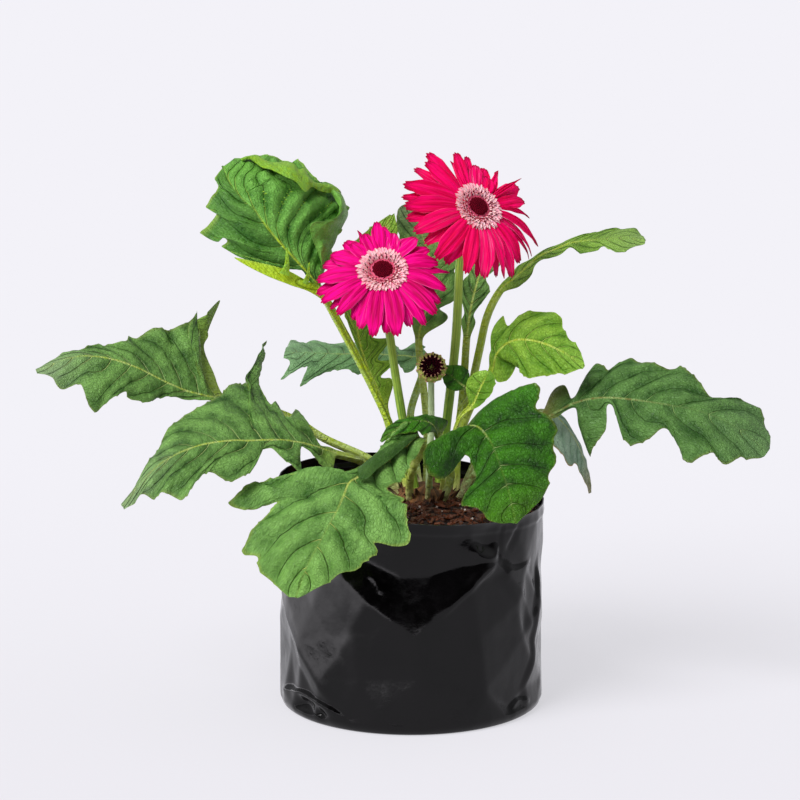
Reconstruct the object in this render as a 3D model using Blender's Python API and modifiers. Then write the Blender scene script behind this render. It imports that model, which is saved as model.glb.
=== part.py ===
"""A potted gerbera: two open blooms and a bud over a rosette of lobed leaves, in a black film grow bag.

Metres, +Z up. The origin is the middle of the bag's flat bottom. +X is to the right and -Y is the front.
Places and sizes in the tables below are millimetres, and MM turns them into metres.
"""

import math

import bmesh
import bpy
from mathutils import Matrix, Vector, geometry, noise

MM = 0.001
GAP = 0.35  # clearance between neighbouring pieces

# Grow bag, a tube of film with a round flat bottom
BAG_RADIUS = 80.0
BAG_RIM_HEIGHT = 131.0
BAG_RIM_TILT = 7.5  # the rim stands this much higher on one side and lower on the other
BAG_RIM_HIGH_SIDE = 150.0  # degrees round from +X
BAG_WALL = 0.8
BAG_CORNER = 5.0
BAG_SIDES = 40
BAG_SEAM = 90.0  # the film is unrolled from the back

# Corners of the film's flat facets on the front and sides: (degrees, height, how far it is pressed in)
FILM_CORNERS = [
    # wide dark facet of the front, from its lower edge up to the panel above it
    (238, 94, 0.5), (250, 81, 0.0), (261, 69, 0.0), (271.5, 58, 0.0), (270.5, 67, 1.4), (278, 68, 0.1),
    (285, 78, 0.2), (296, 88, 0.6), (307, 98, 1.2), (249, 104, 5.0), (265, 95, 5.8), (280, 96, 5.8),
    (293, 100, 5.2),
    (289, 113, 5.4), (298, 105, 3.4),
    # dent below the rim on the right
    (306, 110, 7.5), (304, 101, 2.2), (313, 104, 5.0), (316, 93, 3.6), (330, 91, 2.8), (345, 88, 3.4),
    # lower front
    (244, 60, 0.6), (247, 34, 0.8), (255, 12, 0.2), (276, 36, 0.5), (282, 12, 0.0), (300, 56, 0.0),
    (303, 24, 0.2),
    # right side
    (322, 73, 0.0), (329, 61, 3.0), (327, 50, 0.8), (333, 36, 0.4), (330, 18, 2.4), (320, 9, 3.0),
    (326, 12, 4.4), (343, 66, 0.2), (346, 40, 2.4), (350, 16, 0.6), (358, 82, 1.6), (2, 52, 0.0),
    (2, 24, 0.4), (12, 40, 2.0),
    # left side, with the fold at its foot
    (204, 73, 0.0), (215, 48, 0.0), (228, 28, 0.2), (240, 9, 0.4), (194, 68, 1.6), (201, 38, 3.2),
    (206, 20, 2.6), (198, 13, 0.4), (212, 16, 0.6), (226, 13, 0.4), (216, 10, 6.6), (228, 8, 5.8),
    (226, 86, 2.6), (210, 100, 0.6), (190, 92, 1.2), (180, 50, 0.0), (181, 24, 0.2), (172, 74, 1.8),
]
# How far the film is pressed in at the height of the potting mix: (degrees, depth)
FILM_NECK = [
    (90, 0.6), (140, 2.4), (175, 0.4), (200, 0.8), (225, 3.6), (240, 4.8), (290, 5.0), (307, 7.0),
    (320, 4.0), (345, 0.6), (365, 0.4), (400, 2.6), (450, 0.6),
]
# Corners of the facets round the back: their heights, their degrees from the seam and how far every second
# one is pressed in
BACK_ROWS = (24.0, 52.0, 80.0, 102.0)
BACK_PLACES = (17.0, 34.0, 51.0, 68.0, 343.0, 326.0, 309.0, 292.0, 275.0)
BACK_DEPTH = 3.4

# Potting mix
SOIL_EDGE_HEIGHT = 119.0
SOIL_MOUND = 5.0
SOIL_BUMP = 1.3
SOIL_RINGS = 3

# Crown, the short stock that every stalk rises from
CROWN_CENTRE = (10.0, 10.0)
CROWN_RADIUS = 23.5
CROWN_TOP = 131.5
CROWN_SHOULDER = 123.0
CROWN_PLUG_RADIUS = 21.5
CROWN_PLUG_BOTTOM = 106.0
CROWN_SIDES = 20
SEAT_HEIGHT = 119.0
INNER_RING = 8.5
OUTER_RING = 16.0
SOCKET_ROOM = 1.7  # a socket's radius is this much more than the stalk's half width
SOCKET_DEPTH = 0.9  # a socket goes this much deeper than the stalk's foot
STUB_PLACES = (80.0, 119.0, 214.0, 249.0, 281.0, 309.0)  # degrees of the old dry stubs, between the stalks
STUB_RADIUS = 2.3

# Leaf stalks and blades
STALK_HALF_WIDTH = 2.3
STALK_THICKNESS = 4.0
STALK_STATIONS = 5
FOOT_LENGTH = 13.0  # the stalk's straight foot
RIB_HALF_WIDTH = 1.5
BLADE_THICKNESS = 0.75
WIDE_LEAF = 24.0  # leaves with a wider half have a finer mesh

# Each leaf: where it is seated (ring, degrees), its midline, the direction its upper face looks at the
# blade's base and tip, and where the blade begins as a share of the midline. A margin row stands for one
# side vein and says where the vein leaves the midrib, in percent of the blade, and then how far out and how
# far ahead its end lies on the left and on the right. "lift" is (percent, left, right), how far each half
# is raised above flat, in degrees. "bend" is how far a half curls down on its way out, in degrees, and
# "wave" how far its edge is waved. "bow" is (percent, left, right), how far ahead the side veins are bowed
# halfway out.
LEAVES = {
    "leaf_tall_left": dict(
        seat=("inner", 172),
        line=[
            (-8, 9, 158), (-21, 8, 189), (-46, 5, 237), (-55, 1, 254), (-64, -2, 265), (-74, -3, 276),
            (-84, -4, 288), (-93, -3, 300), (-101, 0, 307), (-108, 6, 316), (-112, 14, 324),
        ],
        face=[(0.45, -0.75, 0.45), (0.1, -0.9, 0.35)],
        blade=0.58,
        margin=[
            (0, 4, 0, 2, -2), (3, 27, 49, 2, -1), (4.5, 10, 26, 3, -2), (6, 4, 8, 3, -2),
            (8, 3, 2, 3, -3), (11, 3, 3, 3, -6), (18, 2, 4, 7, -12), (23, 29, 35, 15, -16),
            (33, 24, 26, 24, -24), (36, 29, 38, 30, -25), (38, 34, 40, 34, -26), (50, 17, 28, 42, -37),
            (55, 21, 30, 54, -42), (66, 11, 21, 60, -42), (74, 7, 15, 64, -42), (76, 7, 15, 60, -36),
            (77, 7, 15, 51, -23), (79, 7, 15, 49, -14), (81, 6, 14, 48, 13), (86, 3, 12, 41, 16),
            (93, 0, 7, 28, 14), (100, 0, 0, 10, 7),
        ],
        lift=[(0, -18, -10), (50, -14, 8), (100, -4, -10)],
        bend=30,
        wave=2.0,
    ),
    "leaf_left": dict(
        seat=("outer", 164),
        line=[
            (-9, 15, 134), (-26, 15, 147), (-52, 19, 158), (-73, 19, 171), (-100, 14, 181),
            (-115, 6, 185), (-124, -1, 188), (-135, -6, 192), (-148, -11, 199), (-158, -14, 205),
            (-168, -17, 210), (-181, -19, 214), (-195, -20, 215), (-208, -22, 212), (-221, -24, 207),
        ],
        face=[(0.1, -0.6, 0.8), (0, -0.5, 0.87)],
        blade=0.53,
        margin=[
            (0, 2, 0, 3, -1), (2, 3, 1, 38, 1), (3, 3, 3, 71, -17), (4, 3, 3, 59, -5), (5, 3, 3, 44, 8),
            (6, 3, 3, 34, 13), (10, 4, 4, 33, 17), (11, 4, 4, 40, 19), (12.5, 4, 4, 49, 15),
            (14, 5, 5, 57, 0), (17, 6, 6, 42, 17), (24, 8, 6, 39, 14), (29, 12, 7, 36, 18),
            (36, 19, 2, 26, 16), (42, 22, 8, 27, 16), (47, 18, 5, 21, 10), (53, 30, 8, 15, 14),
            (62, 38, 7, 10, 14), (68, 20, 15, 8, 12), (76, 18, 20, 7, 10), (88, 8, 7, 4, 5),
            (100, 2, 0, 2, 0),
        ],
        lift=[(0, -10, 34), (25, -10, 14), (45, -6, 0), (100, -8, 0)],
        bend=16,
        wave=1.4,
        bow=[(0, 0, 4), (2, 0, 10), (5, 0, 11), (8, 0, 0), (100, 0, 0)],
    ),
    "leaf_low_left": dict(
        seat=("outer", 196),
        line=[
            (-11, 4, 133), (-28, -3, 148), (-33, -14, 153), (-47, -26, 159), (-59, -36, 165),
            (-70, -44, 169), (-79, -50, 171), (-94, -57, 172), (-105, -62, 173), (-120, -68, 172),
            (-134, -74, 168), (-145, -79, 162), (-154, -83, 154), (-160, -86, 147), (-165, -89, 140),
        ],
        face=[(0, -0.55, 0.83), (-0.35, -0.5, 0.78)],
        blade=0.32,
        margin=[
            (0, 2, 0, 4, 1), (6, 17, -2, 3, 3), (11, 4, 4, 33, -3), (16, 3, 4, 21, 2), (21, 25, 0, 24, -5),
            (24, 17, 2, 30, -11), (27, 10, 3, 40, -14), (29, 5, 4, 34, -11), (33, 8, 8, 60, -20),
            (35, 20, 10, 110, -56), (36, 24, 13, 61, -21),
            (41, 27, 18, 57, -9), (46, 18, 24, 44, -4), (52, 25, 32, 36, 4), (57, 27, 38, 31, 7),
            (64, 16, 32, 23, 7), (70, 14, 31, 14, 7), (78, 6, 20, 7, 8), (87, 5, 14, 2, 8),
            (100, 2, 1, 3, -1),
        ],
        lift=[(0, -20, 16), (30, -10, 8), (100, -6, -4)],
        bend=18,
        wave=1.2,
        bow=[(0, 0, 0), (32, 0, 0), (34, 0, 9), (38, 0, 0), (100, 0, 0)],
    ),
    "leaf_front_left": dict(
        seat=("outer", 232),
        line=[
            (0, -12, 140), (6, -30, 168), (-7, -44, 163), (-19, -58, 156), (-31, -70, 153),
            (-36, -76, 151), (-39, -82, 145), (-43, -88, 137), (-49, -93, 127), (-54, -97, 118),
            (-60, -101, 107), (-66, -106, 91),
        ],
        face=[(-0.05, -0.45, 0.88), (-0.1, -0.88, 0.45)],
        blade=0.28,
        margin=[
            (0, 1, -2, 2, 3), (11, 9, 0, 12, -18), (24, 13, -2, 9, -5), (34, 16, -7, 6, 2),
            (42, 14, -11, 11, 10), (45, 20, -16, 43, 8), (48, 27, -21, 62, 40), (51, 39, 6, 50, 36),
            (54, 46, 10, 35, 20), (58, 38, 8, 37, 24), (62, 27, 5, 40, 29), (67, 33, 2, 39, 34),
            (72, 27, 5, 30, 25), (77, 26, 3, 26, 25), (84, 19, -2, 18, 18), (91, 14, -1, 11, 11),
            (100, 6, -5, 4, 1),
        ],
        lift=[(0, 10, 40), (25, 4, 36), (36, 2, 16), (42, 0, 2), (100, 0, 0)],
        bend=16,
        wave=1.2,
    ),
    "leaf_front_right": dict(
        seat=("outer", 296),
        line=[
            (23, -12, 140), (23, -16, 149), (27, -22, 164), (31, -28, 173), (36, -34, 176),
            (41, -41, 175), (47, -51, 168), (52, -61, 156), (57, -70, 141), (60, -76, 127),
        ],
        face=[(-0.1, -0.3, 0.95), (0.1, -0.98, 0.2)],
        blade=0.44,
        margin=[
            (0, 0, 0, 0, -3), (3, 8, 0, 21, 0), (8, 16, 3, 39, 11), (13, 29, 3, 43, 15),
            (18, 38, 2, 41, 24), (23, 42, 2, 32, 22), (29, 33, 1, 18, 4), (34, 36, 2, 15, 6),
            (40, 39, 2, 15, 9), (50, 33, -1, 16, 7), (60, 33, 2, 22, 3), (71, 26, -1, 29, 2),
            (79, 24, -1, 18, 4), (88, 18, -2, 16, 4), (95, 8, -1, 9, 2), (100, 1, 0, 2, -1),
        ],
        lift=[(0, 48, 34), (12, 42, 16), (25, 34, -4), (55, 6, -6), (100, -4, -6)],
        bend=18,
        wave=1.2,
    ),
    "leaf_right": dict(
        seat=("outer", 322),
        line=[
            (48, 8, 152), (66, 12, 163), (84, 8, 174), (99, 2, 183), (114, -4, 187), (132, -10, 187),
            (152, -16, 185), (171, -21, 182), (191, -26, 174), (210, -30, 159),
        ],
        face=[(0.1, -0.62, 0.78), (0.3, -0.6, 0.74)],
        blade=0.35,
        margin=[
            (0, 3, 0, 2, -1), (2, 16, 8, 2, 1), (5, 15, 12, 3, 1), (10, 4, 6, 2, 0), (15, 9, 4, 3, 1),
            (18, 28, 7, 16, -6), (21, 21, 11, 34, -10), (24, 26, 9, 20, 9), (28, 36, 9, 5, 3),
            (32, 32, 10, 5, 1), (36, 32, 11, 23, 4), (40, 31, 15, 28, 6), (46, 36, 13, 23, 9),
            (50, 30, 16, 15, 10), (57, 18, 17, 36, 21), (64, 19, 16, 23, 25), (72, 27, 14, 25, 27),
            (80, 25, 12, 14, 19), (90, 16, 8, 9, 12), (100, 5, 0, 3, 0),
        ],
        lift=[(0, 14, -36), (35, 6, -20), (55, 2, -8), (100, 0, -4)],
        bend=14,
        wave=1.2,
    ),
    "leaf_bright_right": dict(
        seat=("outer", 346),
        line=[
            (27, 14, 154), (36, 14, 179), (44, 12, 192), (49, 10, 202), (51, 8, 211), (57, 6, 218),
            (65, 3, 221), (77, -1, 220), (90, -5, 215), (103, -9, 207),
        ],
        face=[(-0.2, -0.85, 0.45), (0.15, -0.85, 0.5)],
        blade=0.54,
        margin=[
            (0, 2, -1, 1, 0), (10, 6, 12, 0, -6), (17, 17, 12, 6, -16), (23, 9, 8, 11, -16),
            (30, 14, 6, 15, -10), (37, 18, 5, 21, 9), (46, 22, 8, 23, 11), (54, 20, 9, 16, 18),
            (64, 14, 4, 12, 17), (75, 10, 3, 8, 14), (86, 7, 3, 4, 8), (100, 1, -1, 2, 0),
        ],
        lift=[(0, 14, -4), (40, 0, -4), (100, -4, -6)],
        bend=16,
        wave=1.0,
    ),
    "leaf_high_right": dict(
        seat=("outer", 30),
        line=[
            (27, 26, 150), (35, 32, 182), (41, 38, 208), (46, 42, 229), (54, 46, 244), (64, 48, 252),
            (73, 50, 260), (79, 50, 265), (88, 49, 269), (97, 48, 273), (109, 46, 275), (127, 42, 277),
            (142, 38, 276),
        ],
        face=[(-0.5, -0.7, 0.5), (0.1, -0.35, 0.93)],
        blade=0.57,
        margin=[
            (0, 2, 1, 3, 0), (9, 3, -1, 7, 1), (19, 5, 0, 8, 0), (26, 3, 0, 3, 1), (33, 2, -1, 4, 1),
            (39, 3, 1, 5, 0), (44, 3, 3, 6, 3), (51, 3, 1, 3, 2), (56, 7, 8, 10, 4), (63, 11, 10, 9, 6),
            (69, 16, 12, 5, 5), (76, 20, 11, 12, 7), (87, 14, 7, 8, 5), (100, 1, 0, 3, 0),
        ],
        lift=[(0, 14, 6), (50, 10, 4), (70, -6, -14), (100, -6, -14)],
        bend=14,
        wave=0.8,
    ),
    "leaf_back_left": dict(
        seat=("outer", 104),
        line=[
            (2, 40, 146), (0, 60, 166), (9, 78, 194), (0, 86, 196), (-13, 92, 196), (-29, 97, 196),
            (-45, 101, 195), (-62, 105, 195), (-80, 108, 195),
        ],
        face=[(-0.1, -0.35, 0.93), (-0.15, -0.2, 0.97)],
        blade=0.49,
        margin=[
            (0, 0, -2, 0, 3), (13, 11, 0, 20, 4), (22, 6, 1, 8, 2), (33, 14, 4, 20, 3),
            (45, 13, 6, 17, 2), (60, 10, 5, 24, 2), (72, 24, 15, 23, 6), (79, 9, 4, 26, 8),
            (86, 21, 14, 27, 8), (92, 8, 3, 30, 10), (100, 5, 0, 14, 2),
        ],
        lift=[(0, -16, 6), (60, -34, 2), (100, -20, 0)],
        bend=20,
        wave=1.0,
    ),
    "leaf_behind_blooms": dict(
        seat=("inner", 100),
        line=[
            (10, 22, 145), (9, 30, 173), (6, 42, 198), (5, 50, 216), (10, 57, 233), (13, 62, 254),
            (7, 63, 275), (-2, 60, 294),
        ],
        face=[(0, -0.95, 0.3), (0.05, -0.85, 0.5)],
        blade=0.54,
        margin=[
            (0, 2, 0, 2, 0), (10, 7, 2, 15, 9), (18, 4, 2, 7, 5), (25, 9, 3, 19, 9), (34, 10, 6, 19, 8),
            (43, 4, 5, 13, 5), (56, 13, 14, 22, 0), (70, 13, 16, 23, -4), (82, 8, 15, 20, -3),
            (92, 4, 9, 13, 0), (100, 0, 2, 3, 0),
        ],
        lift=[(0, 10, 10), (100, 8, 8)],
        bend=16,
        wave=1.4,
    ),
    "leaf_upright_right": dict(
        seat=("outer", 56),
        line=[(28, 34, 156), (32, 40, 186), (34, 46, 213), (37, 50, 234), (42, 54, 252), (49, 56, 267)],
        face=[(-0.2, -0.9, 0.3), (-0.1, -0.85, 0.5)],
        blade=0.65,
        margin=[
            (0, 2, 0, 2, 0), (11, 5, 3, 5, 3), (21, 3, 2, 2, 2), (35, 9, 6, 8, 6), (49, 9, 5, 9, 6),
            (63, 6, 3, 4, 3), (76, 12, 3, 10, 8), (88, 11, 4, 8, 7), (100, 2, 1, 2, 1),
        ],
        lift=[(0, 14, 14), (100, 8, 8)],
        bend=10,
        wave=0.8,
    ),
    "leaf_yellow_green": dict(
        seat=("outer", 134),
        line=[
            (-8, 24, 146), (-15, 24, 171), (-20, 26, 186), (-27, 29, 201), (-32, 31, 219),
            (-33, 32, 237), (-29, 33, 254), (-22, 33, 272), (-12, 32, 292),
        ],
        face=[(0.4, -0.85, 0.3), (0.1, -0.9, 0.4)],
        blade=0.33,
        margin=[
            (0, 1, 0, 3, 0), (8, 3, 1, 12, 2), (13, 3, 1, 4, 0), (18, 2, 1, 20, -1), (22, 2, 1, 7, 0),
            (28, 2, 2, 21, 3), (33, 3, 1, 8, 1), (39, 6, 6, 11, 5), (47, 10, 8, 14, 12),
            (54, 16, 9, 17, 16), (65, 16, 9, 16, 17), (77, 11, 8, 10, 15), (89, 5, 6, 7, 8),
            (100, 1, 0, 1, 2),
        ],
        lift=[(0, 16, 10), (100, 4, 4)],
        bend=10,
        wave=0.8,
    ),
    "leaf_young_folded": dict(
        seat=("inner", 320),
        line=[
            (20, -4, 146), (27, -8, 172), (32, -10, 180), (37, -11, 185), (41, -11, 194), (46, -10, 204),
        ],
        face=[(-0.5, -0.8, 0.3), (-0.3, -0.85, 0.4)],
        blade=0.75,
        margin=[
            (0, 1, -1, 2, 0), (15, 5, 0, 6, 1), (40, 8, 0, 10, 1), (63, 9, -1, 10, 2), (84, 7, 0, 6, 3),
            (100, 2, 0, 0, 1),
        ],
        lift=[(0, 30, 26), (100, 20, 20)],
        bend=4,
        wave=0.5,
        slim=0.55,
    ),
    "leaf_young_dark": dict(
        seat=("inner", 5),
        line=[
            (25, 8, 150), (29, 6, 178), (33, 3, 187), (33, 1, 192), (29, 1, 195), (23, 2, 200),
            (18, 3, 203),
        ],
        face=[(0, -0.6, 0.8), (-0.3, -0.7, 0.6)],
        blade=0.81,
        margin=[
            (0, 3, 1, 2, 0), (18, 7, 1, 10, -2), (44, 8, 0, 9, 2), (74, 5, 1, 6, 0), (100, 0, 1, 2, 1),
        ],
        lift=[(0, 6, 14), (100, 6, 14)],
        bend=8,
        wave=0.5,
        slim=0.55,
    ),
    "leaf_young_front": dict(
        seat=("outer", 266),
        line=[
            (11, -11, 138), (14, -14, 154), (16, -18, 166), (12, -23, 175), (2, -29, 178),
            (-8, -35, 175), (-18, -40, 168),
        ],
        face=[(0.1, -0.5, 0.86), (-0.4, -0.5, 0.77)],
        blade=0.52,
        margin=[
            (0, 0, -3, 8, -3), (9, 1, -4, 16, -7), (22, 12, 10, 9, -4), (39, 9, 8, 4, 0),
            (58, 6, 6, 5, 1), (78, 3, 5, 5, 2), (100, 1, 0, 1, 0),
        ],
        lift=[(0, -4, 10), (100, 2, 14)],
        bend=14,
        wave=0.8,
        slim=0.65,
    ),
    "leaf_drooping_right": dict(
        seat=("outer", 8),
        line=[
            (44, 22, 152), (73, 30, 170), (84, 30, 172), (91, 28, 167), (99, 26, 157), (105, 24, 144),
            (110, 22, 123),
        ],
        face=[(0.3, -0.3, 0.9), (0.75, -0.4, 0.5)],
        blade=0.58,
        margin=[
            (0, 2, 1, 4, 2), (12, 5, -1, 18, 4), (23, 5, 0, 25, 5), (32, 4, 2, 22, 12),
            (43, 4, 2, 18, 14), (53, 4, 2, 9, 7), (69, 4, 2, 8, 4), (100, 1, 0, 3, 0),
        ],
        lift=[(0, 6, 6), (60, 0, 0), (100, 10, 10)],
        bend=10,
        wave=0.6,
    ),
}
LEAF_COLOURS = {
    "leaf_tall_left": (0.10, 0.30, 0.06),
    "leaf_young_dark": (0.05, 0.17, 0.03),
    "leaf_bright_right": (0.22, 0.44, 0.07),
    "leaf_young_folded": (0.22, 0.46, 0.07),
    "leaf_yellow_green": (0.30, 0.46, 0.04),
    "leaf_front_right": (0.05, 0.17, 0.03),
    "leaf_young_front": (0.06, 0.20, 0.03),
}
LEAF_GREEN = (0.09, 0.25, 0.06)

# Blooms, each in its own frame: the origin is the middle of the disc's underside, +Z is the way it faces.
# Each petal: degrees round the disc, length from the root, widest half width, rise at the root and fall on
# the way to the tip in degrees, how far the tip swings sideways, and its layer, 0 below and 1 above.
BLOOMS = {
    "bloom_left": dict(
        centre=(-17, -6, 264),
        faces=(0, -0.72, 0.69),
        petals=[
            (96, 25, 4.1, 10, 20, 0, 1), (82, 22, 4.1, 10, 22, 4, 0), (70, 18, 4.6, 10, 30, 3, 1),
            (54, 21.5, 5.6, 12, 36, -1, 1), (36, 23, 4.9, 6, 30, -1, 0), (22, 23, 5.5, 10, 34, -5, 1),
            (6, 29.5, 2.8, 4, 26, -2, 0), (352, 28.5, 5.8, 10, 34, -6, 1), (337, 29, 5.8, 6, 34, -4, 0),
            (325, 32, 5.8, 10, 36, -5, 1), (312, 32.5, 4.8, 6, 36, -4, 0), (300, 29, 4.8, 4, 36, -3, 0),
            (288, 34.5, 5.8, 10, 36, -5, 1), (278, 31, 4.6, 6, 34, -3, 0), (260, 34.5, 5.2, 8, 34, 2, 1),
            (247, 29.5, 5.8, 6, 38, 2, 0), (235, 25.5, 4.6, 4, 38, 3, 0), (226, 29, 5, 10, 40, 1, 1),
            (216, 28.5, 4.3, 6, 42, 0, 0), (208, 31, 4.9, 10, 44, 0, 1), (200, 31, 5.3, 6, 44, -3, 0),
            (186, 29, 5.8, 10, 40, 0, 1), (172, 26.5, 5.8, 6, 38, -3, 0), (158, 23, 5.8, 12, 38, 0, 1),
            (140, 22.5, 5.5, 8, 36, -3, 0), (132, 17, 5.5, 14, 38, 0, 1), (120, 23, 3, 8, 20, -2, 0),
            (110, 17.5, 4.1, 14, 24, 1, 1),
        ],
    ),
    "bloom_right": dict(
        centre=(39, -2, 301),
        faces=(0.44, -0.68, 0.58),
        petals=[
            (99, 26.5, 4.4, 10, 20, -4, 1), (86, 26, 3.5, 6, 22, -5, 0), (74, 20, 4.6, 10, 30, -2, 1),
            (59, 22.5, 4.8, 6, 30, -1, 0), (46, 15.5, 4.6, 12, 40, 2, 1), (32, 23, 2.8, 4, 10, 7, 0),
            (24, 32.5, 1.9, 12, 30, 0, 1), (18, 31, 5.3, 8, 36, 2, 0), (4, 27.5, 4.8, 10, 40, 1, 1),
            (354, 30.5, 1.8, 14, 60, -2, 1), (340, 38, 3.2, 12, 62, -8, 1), (329, 39, 2.6, 8, 64, -4, 0),
            (320, 39.5, 2.1, 6, 66, 2, 0), (308, 31.5, 4.6, 10, 56, -4, 1), (295, 35.5, 4.6, 8, 50, -5, 0),
            (285, 34.5, 3.5, 10, 46, -6, 1), (276, 32.5, 2.9, 4, 46, -1, 0), (266, 34.5, 5.2, 10, 40, -6, 1),
            (256, 33.5, 4.1, 6, 38, -2, 0), (240, 36, 4.8, 10, 34, 1, 1), (228, 35, 5.8, 6, 30, -2, 0),
            (218, 39.5, 5.8, 10, 28, -1, 1), (204, 35.5, 5.2, 6, 26, 0, 0), (190, 39.5, 5.8, 10, 26, 3, 1),
            (179, 37.5, 5.6, 6, 26, 2, 0), (170, 38.5, 5.6, 10, 26, 3, 1), (163, 37.5, 4.6, 6, 24, 1, 0),
            (151, 37.5, 5.8, 10, 26, 4, 1), (140, 33, 4.1, 4, 22, -4, 0), (130, 30, 4.9, 10, 22, -2, 1),
            (121, 33.5, 4.9, 6, 20, -4, 0), (108, 22, 2.2, 12, 30, -4, 1),
        ],
    ),
}
HUB_RADIUS = 12.5
HUB_HALF_THICKNESS = 1.2
HUB_SIDES = 24
PETAL_ROOT = 11.0
PETAL_THICKNESS = 0.65
PETAL_LAYERS = (-0.6, 0.5)  # height of a petal's root in the lower and in the upper layer
PETAL_STATIONS = 4
FRINGE_INNER = 6.9
FRINGE_OUTER = 12.0
FRINGE_HEIGHT = 2.4
FRINGE_SIDES = 20
# Small florets: count, radius, rise in degrees, length
FRINGE_ROWS = [(15, 11.6, 34.0, 6.4), (9, 9.2, 62.0, 5.0)]
EYE_RADIUS = 6.3
EYE_HEIGHT = 2.6
EYE_EDGE = 0.6
EYE_BUMP = 0.55
EYE_RINGS = 4
EYE_SIDES = 16
CALYX_DEPTH = 10.5
CALYX_RADIUS = 11.5
CALYX_NECK = 3.4
CALYX_BRACTS = 10

# Bud, not yet open
BUD = dict(centre=(12, -8, 206), faces=(0.02, -0.93, 0.36))
BUD_RADIUS = 9.0
BUD_MOUTH = 2.9  # height of the cup's mouth above its widest part
BUD_DEPTH = 8.5
BUD_BRACTS = 12

# Flower stalks: seat, the line above it, the radius at the foot and at the top, and the head that it
# carries with how far the head reaches down from its centre
SCAPES = {
    "scape_left": dict(
        seat=("inner", 225),
        line=[(-4, 4, 166), (-9, 7, 196), (-13, 8, 224), (-16, 9, 243)],
        radius=(2.7, 2.3),
        head=BLOOMS["bloom_left"],
        drop=HUB_HALF_THICKNESS + GAP + CALYX_DEPTH,
    ),
    "scape_right": dict(
        seat=("inner", 45),
        line=[(22, 16, 172), (27, 19, 219), (29, 20, 262), (31, 17, 282)],
        radius=(2.9, 2.4),
        head=BLOOMS["bloom_right"],
        drop=HUB_HALF_THICKNESS + GAP + CALYX_DEPTH,
    ),
    "scape_bud": dict(
        seat=("inner", 275),
        line=[(11, -1, 148), (12, 2, 168), (12, 6, 186), (12, 8, 194)],
        radius=(2.1, 1.8),
        head=BUD,
        drop=BUD_DEPTH,
    ),
}
SCAPE_STATIONS = 6
SCAPE_NECK = 4.5  # length of the stalk's straight end below its head


def clear_scene():
    for thing in list(bpy.data.objects):
        bpy.data.objects.remove(thing, do_unlink=True)


def new_collection(name):
    collection = bpy.data.collections.new(name)
    bpy.context.scene.collection.children.link(collection)
    return collection


def new_material(name, colour, roughness=0.5, metallic=0.0):
    material = bpy.data.materials.new(name)
    material.use_nodes = True
    shader = material.node_tree.nodes["Principled BSDF"]
    shader.inputs["Base Color"].default_value = (*colour, 1.0)
    shader.inputs["Roughness"].default_value = roughness
    shader.inputs["Metallic"].default_value = metallic
    material.diffuse_color = (*colour, 1.0)
    return material


def object_from(bm, name, collection, material=None):
    """Turns a bmesh into a linked object, smooth over gentle edges and sharp over steep ones."""
    mesh = bpy.data.meshes.new(name)
    bm.to_mesh(mesh)
    bm.free()
    mesh.shade_smooth()
    mesh.set_sharp_from_angle(angle=math.radians(40))
    if material:
        mesh.materials.append(material)
    thing = bpy.data.objects.new(name, mesh)
    collection.objects.link(thing)
    return thing


def apply_modifiers(thing):
    """Replaces an object's mesh by its evaluated one."""
    bpy.context.view_layer.update()
    graph = bpy.context.evaluated_depsgraph_get()
    made = bpy.data.meshes.new_from_object(thing.evaluated_get(graph))
    old = thing.data
    thing.modifiers.clear()
    thing.data = made
    bpy.data.meshes.remove(old)


def join_all(thing, members, solver="MANIFOLD"):
    """Unions the objects of a collection with thing, then removes them."""
    union = thing.modifiers.new("join", "BOOLEAN")
    union.operation = "UNION"
    union.operand_type = "COLLECTION"
    union.collection = members
    union.solver = solver
    apply_modifiers(thing)
    remove_collection(members)


def cut_all(thing, cutters):
    """Cuts the objects of a collection from thing."""
    cut = thing.modifiers.new("cut", "BOOLEAN")
    cut.operation = "DIFFERENCE"
    cut.operand_type = "COLLECTION"
    cut.collection = cutters
    cut.solver = "MANIFOLD"
    apply_modifiers(thing)


def remove_collection(collection):
    for thing in list(collection.objects):
        bpy.data.objects.remove(thing, do_unlink=True)
    bpy.data.collections.remove(collection)


def vary(index, salt):
    """A steady stand-in for chance: a number from -1 to 1 for each index and salt."""
    return 2.0 * ((math.sin(index * 12.9898 + salt * 78.233) * 43758.5453) % 1.0) - 1.0


def between(table, place, column=1):
    """Reads a table of rows (place, value, ...) with straight lines between its rows."""
    for low, high in zip(table, table[1:]):
        if place <= high[0]:
            share = (place - low[0]) / (high[0] - low[0])
            return low[column] + (high[column] - low[column]) * max(0.0, share)
    return table[-1][column]


def smooth_line(points, steps=24):
    """A Catmull-Rom curve through the points, as a list of points close together."""
    first = points[0] * 2 - points[1]
    last = points[-1] * 2 - points[-2]
    padded = [first, *points, last]
    line = []
    for a, b, c, d in zip(padded, padded[1:], padded[2:], padded[3:]):
        for step in range(steps):
            t = step / steps
            square, cube = 2 * a - 5 * b + 4 * c - d, 3 * b - a - 3 * c + d
            line.append(0.5 * (2 * b + (c - a) * t + square * t**2 + cube * t**3))
    line.append(points[-1])
    return line


class Midline:
    """A smooth line through points, read by the distance along it in millimetres."""

    def __init__(self, points):
        self.line = smooth_line([Vector(p) for p in points])
        self.run = [0.0]
        for a, b in zip(self.line, self.line[1:]):
            self.run.append(self.run[-1] + (b - a).length)
        self.length = self.run[-1]

    def at(self, distance):
        """(point, direction) at a distance. Past either end the line goes straight on."""
        held = min(max(distance, 0.0), self.length)
        index = next(i for i in range(1, len(self.run)) if held <= self.run[i])
        a, b = self.line[index - 1], self.line[index]
        share = (held - self.run[index - 1]) / (self.run[index] - self.run[index - 1])
        direction = (b - a).normalized()
        return a.lerp(b, share) + direction * (distance - held), direction


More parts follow.
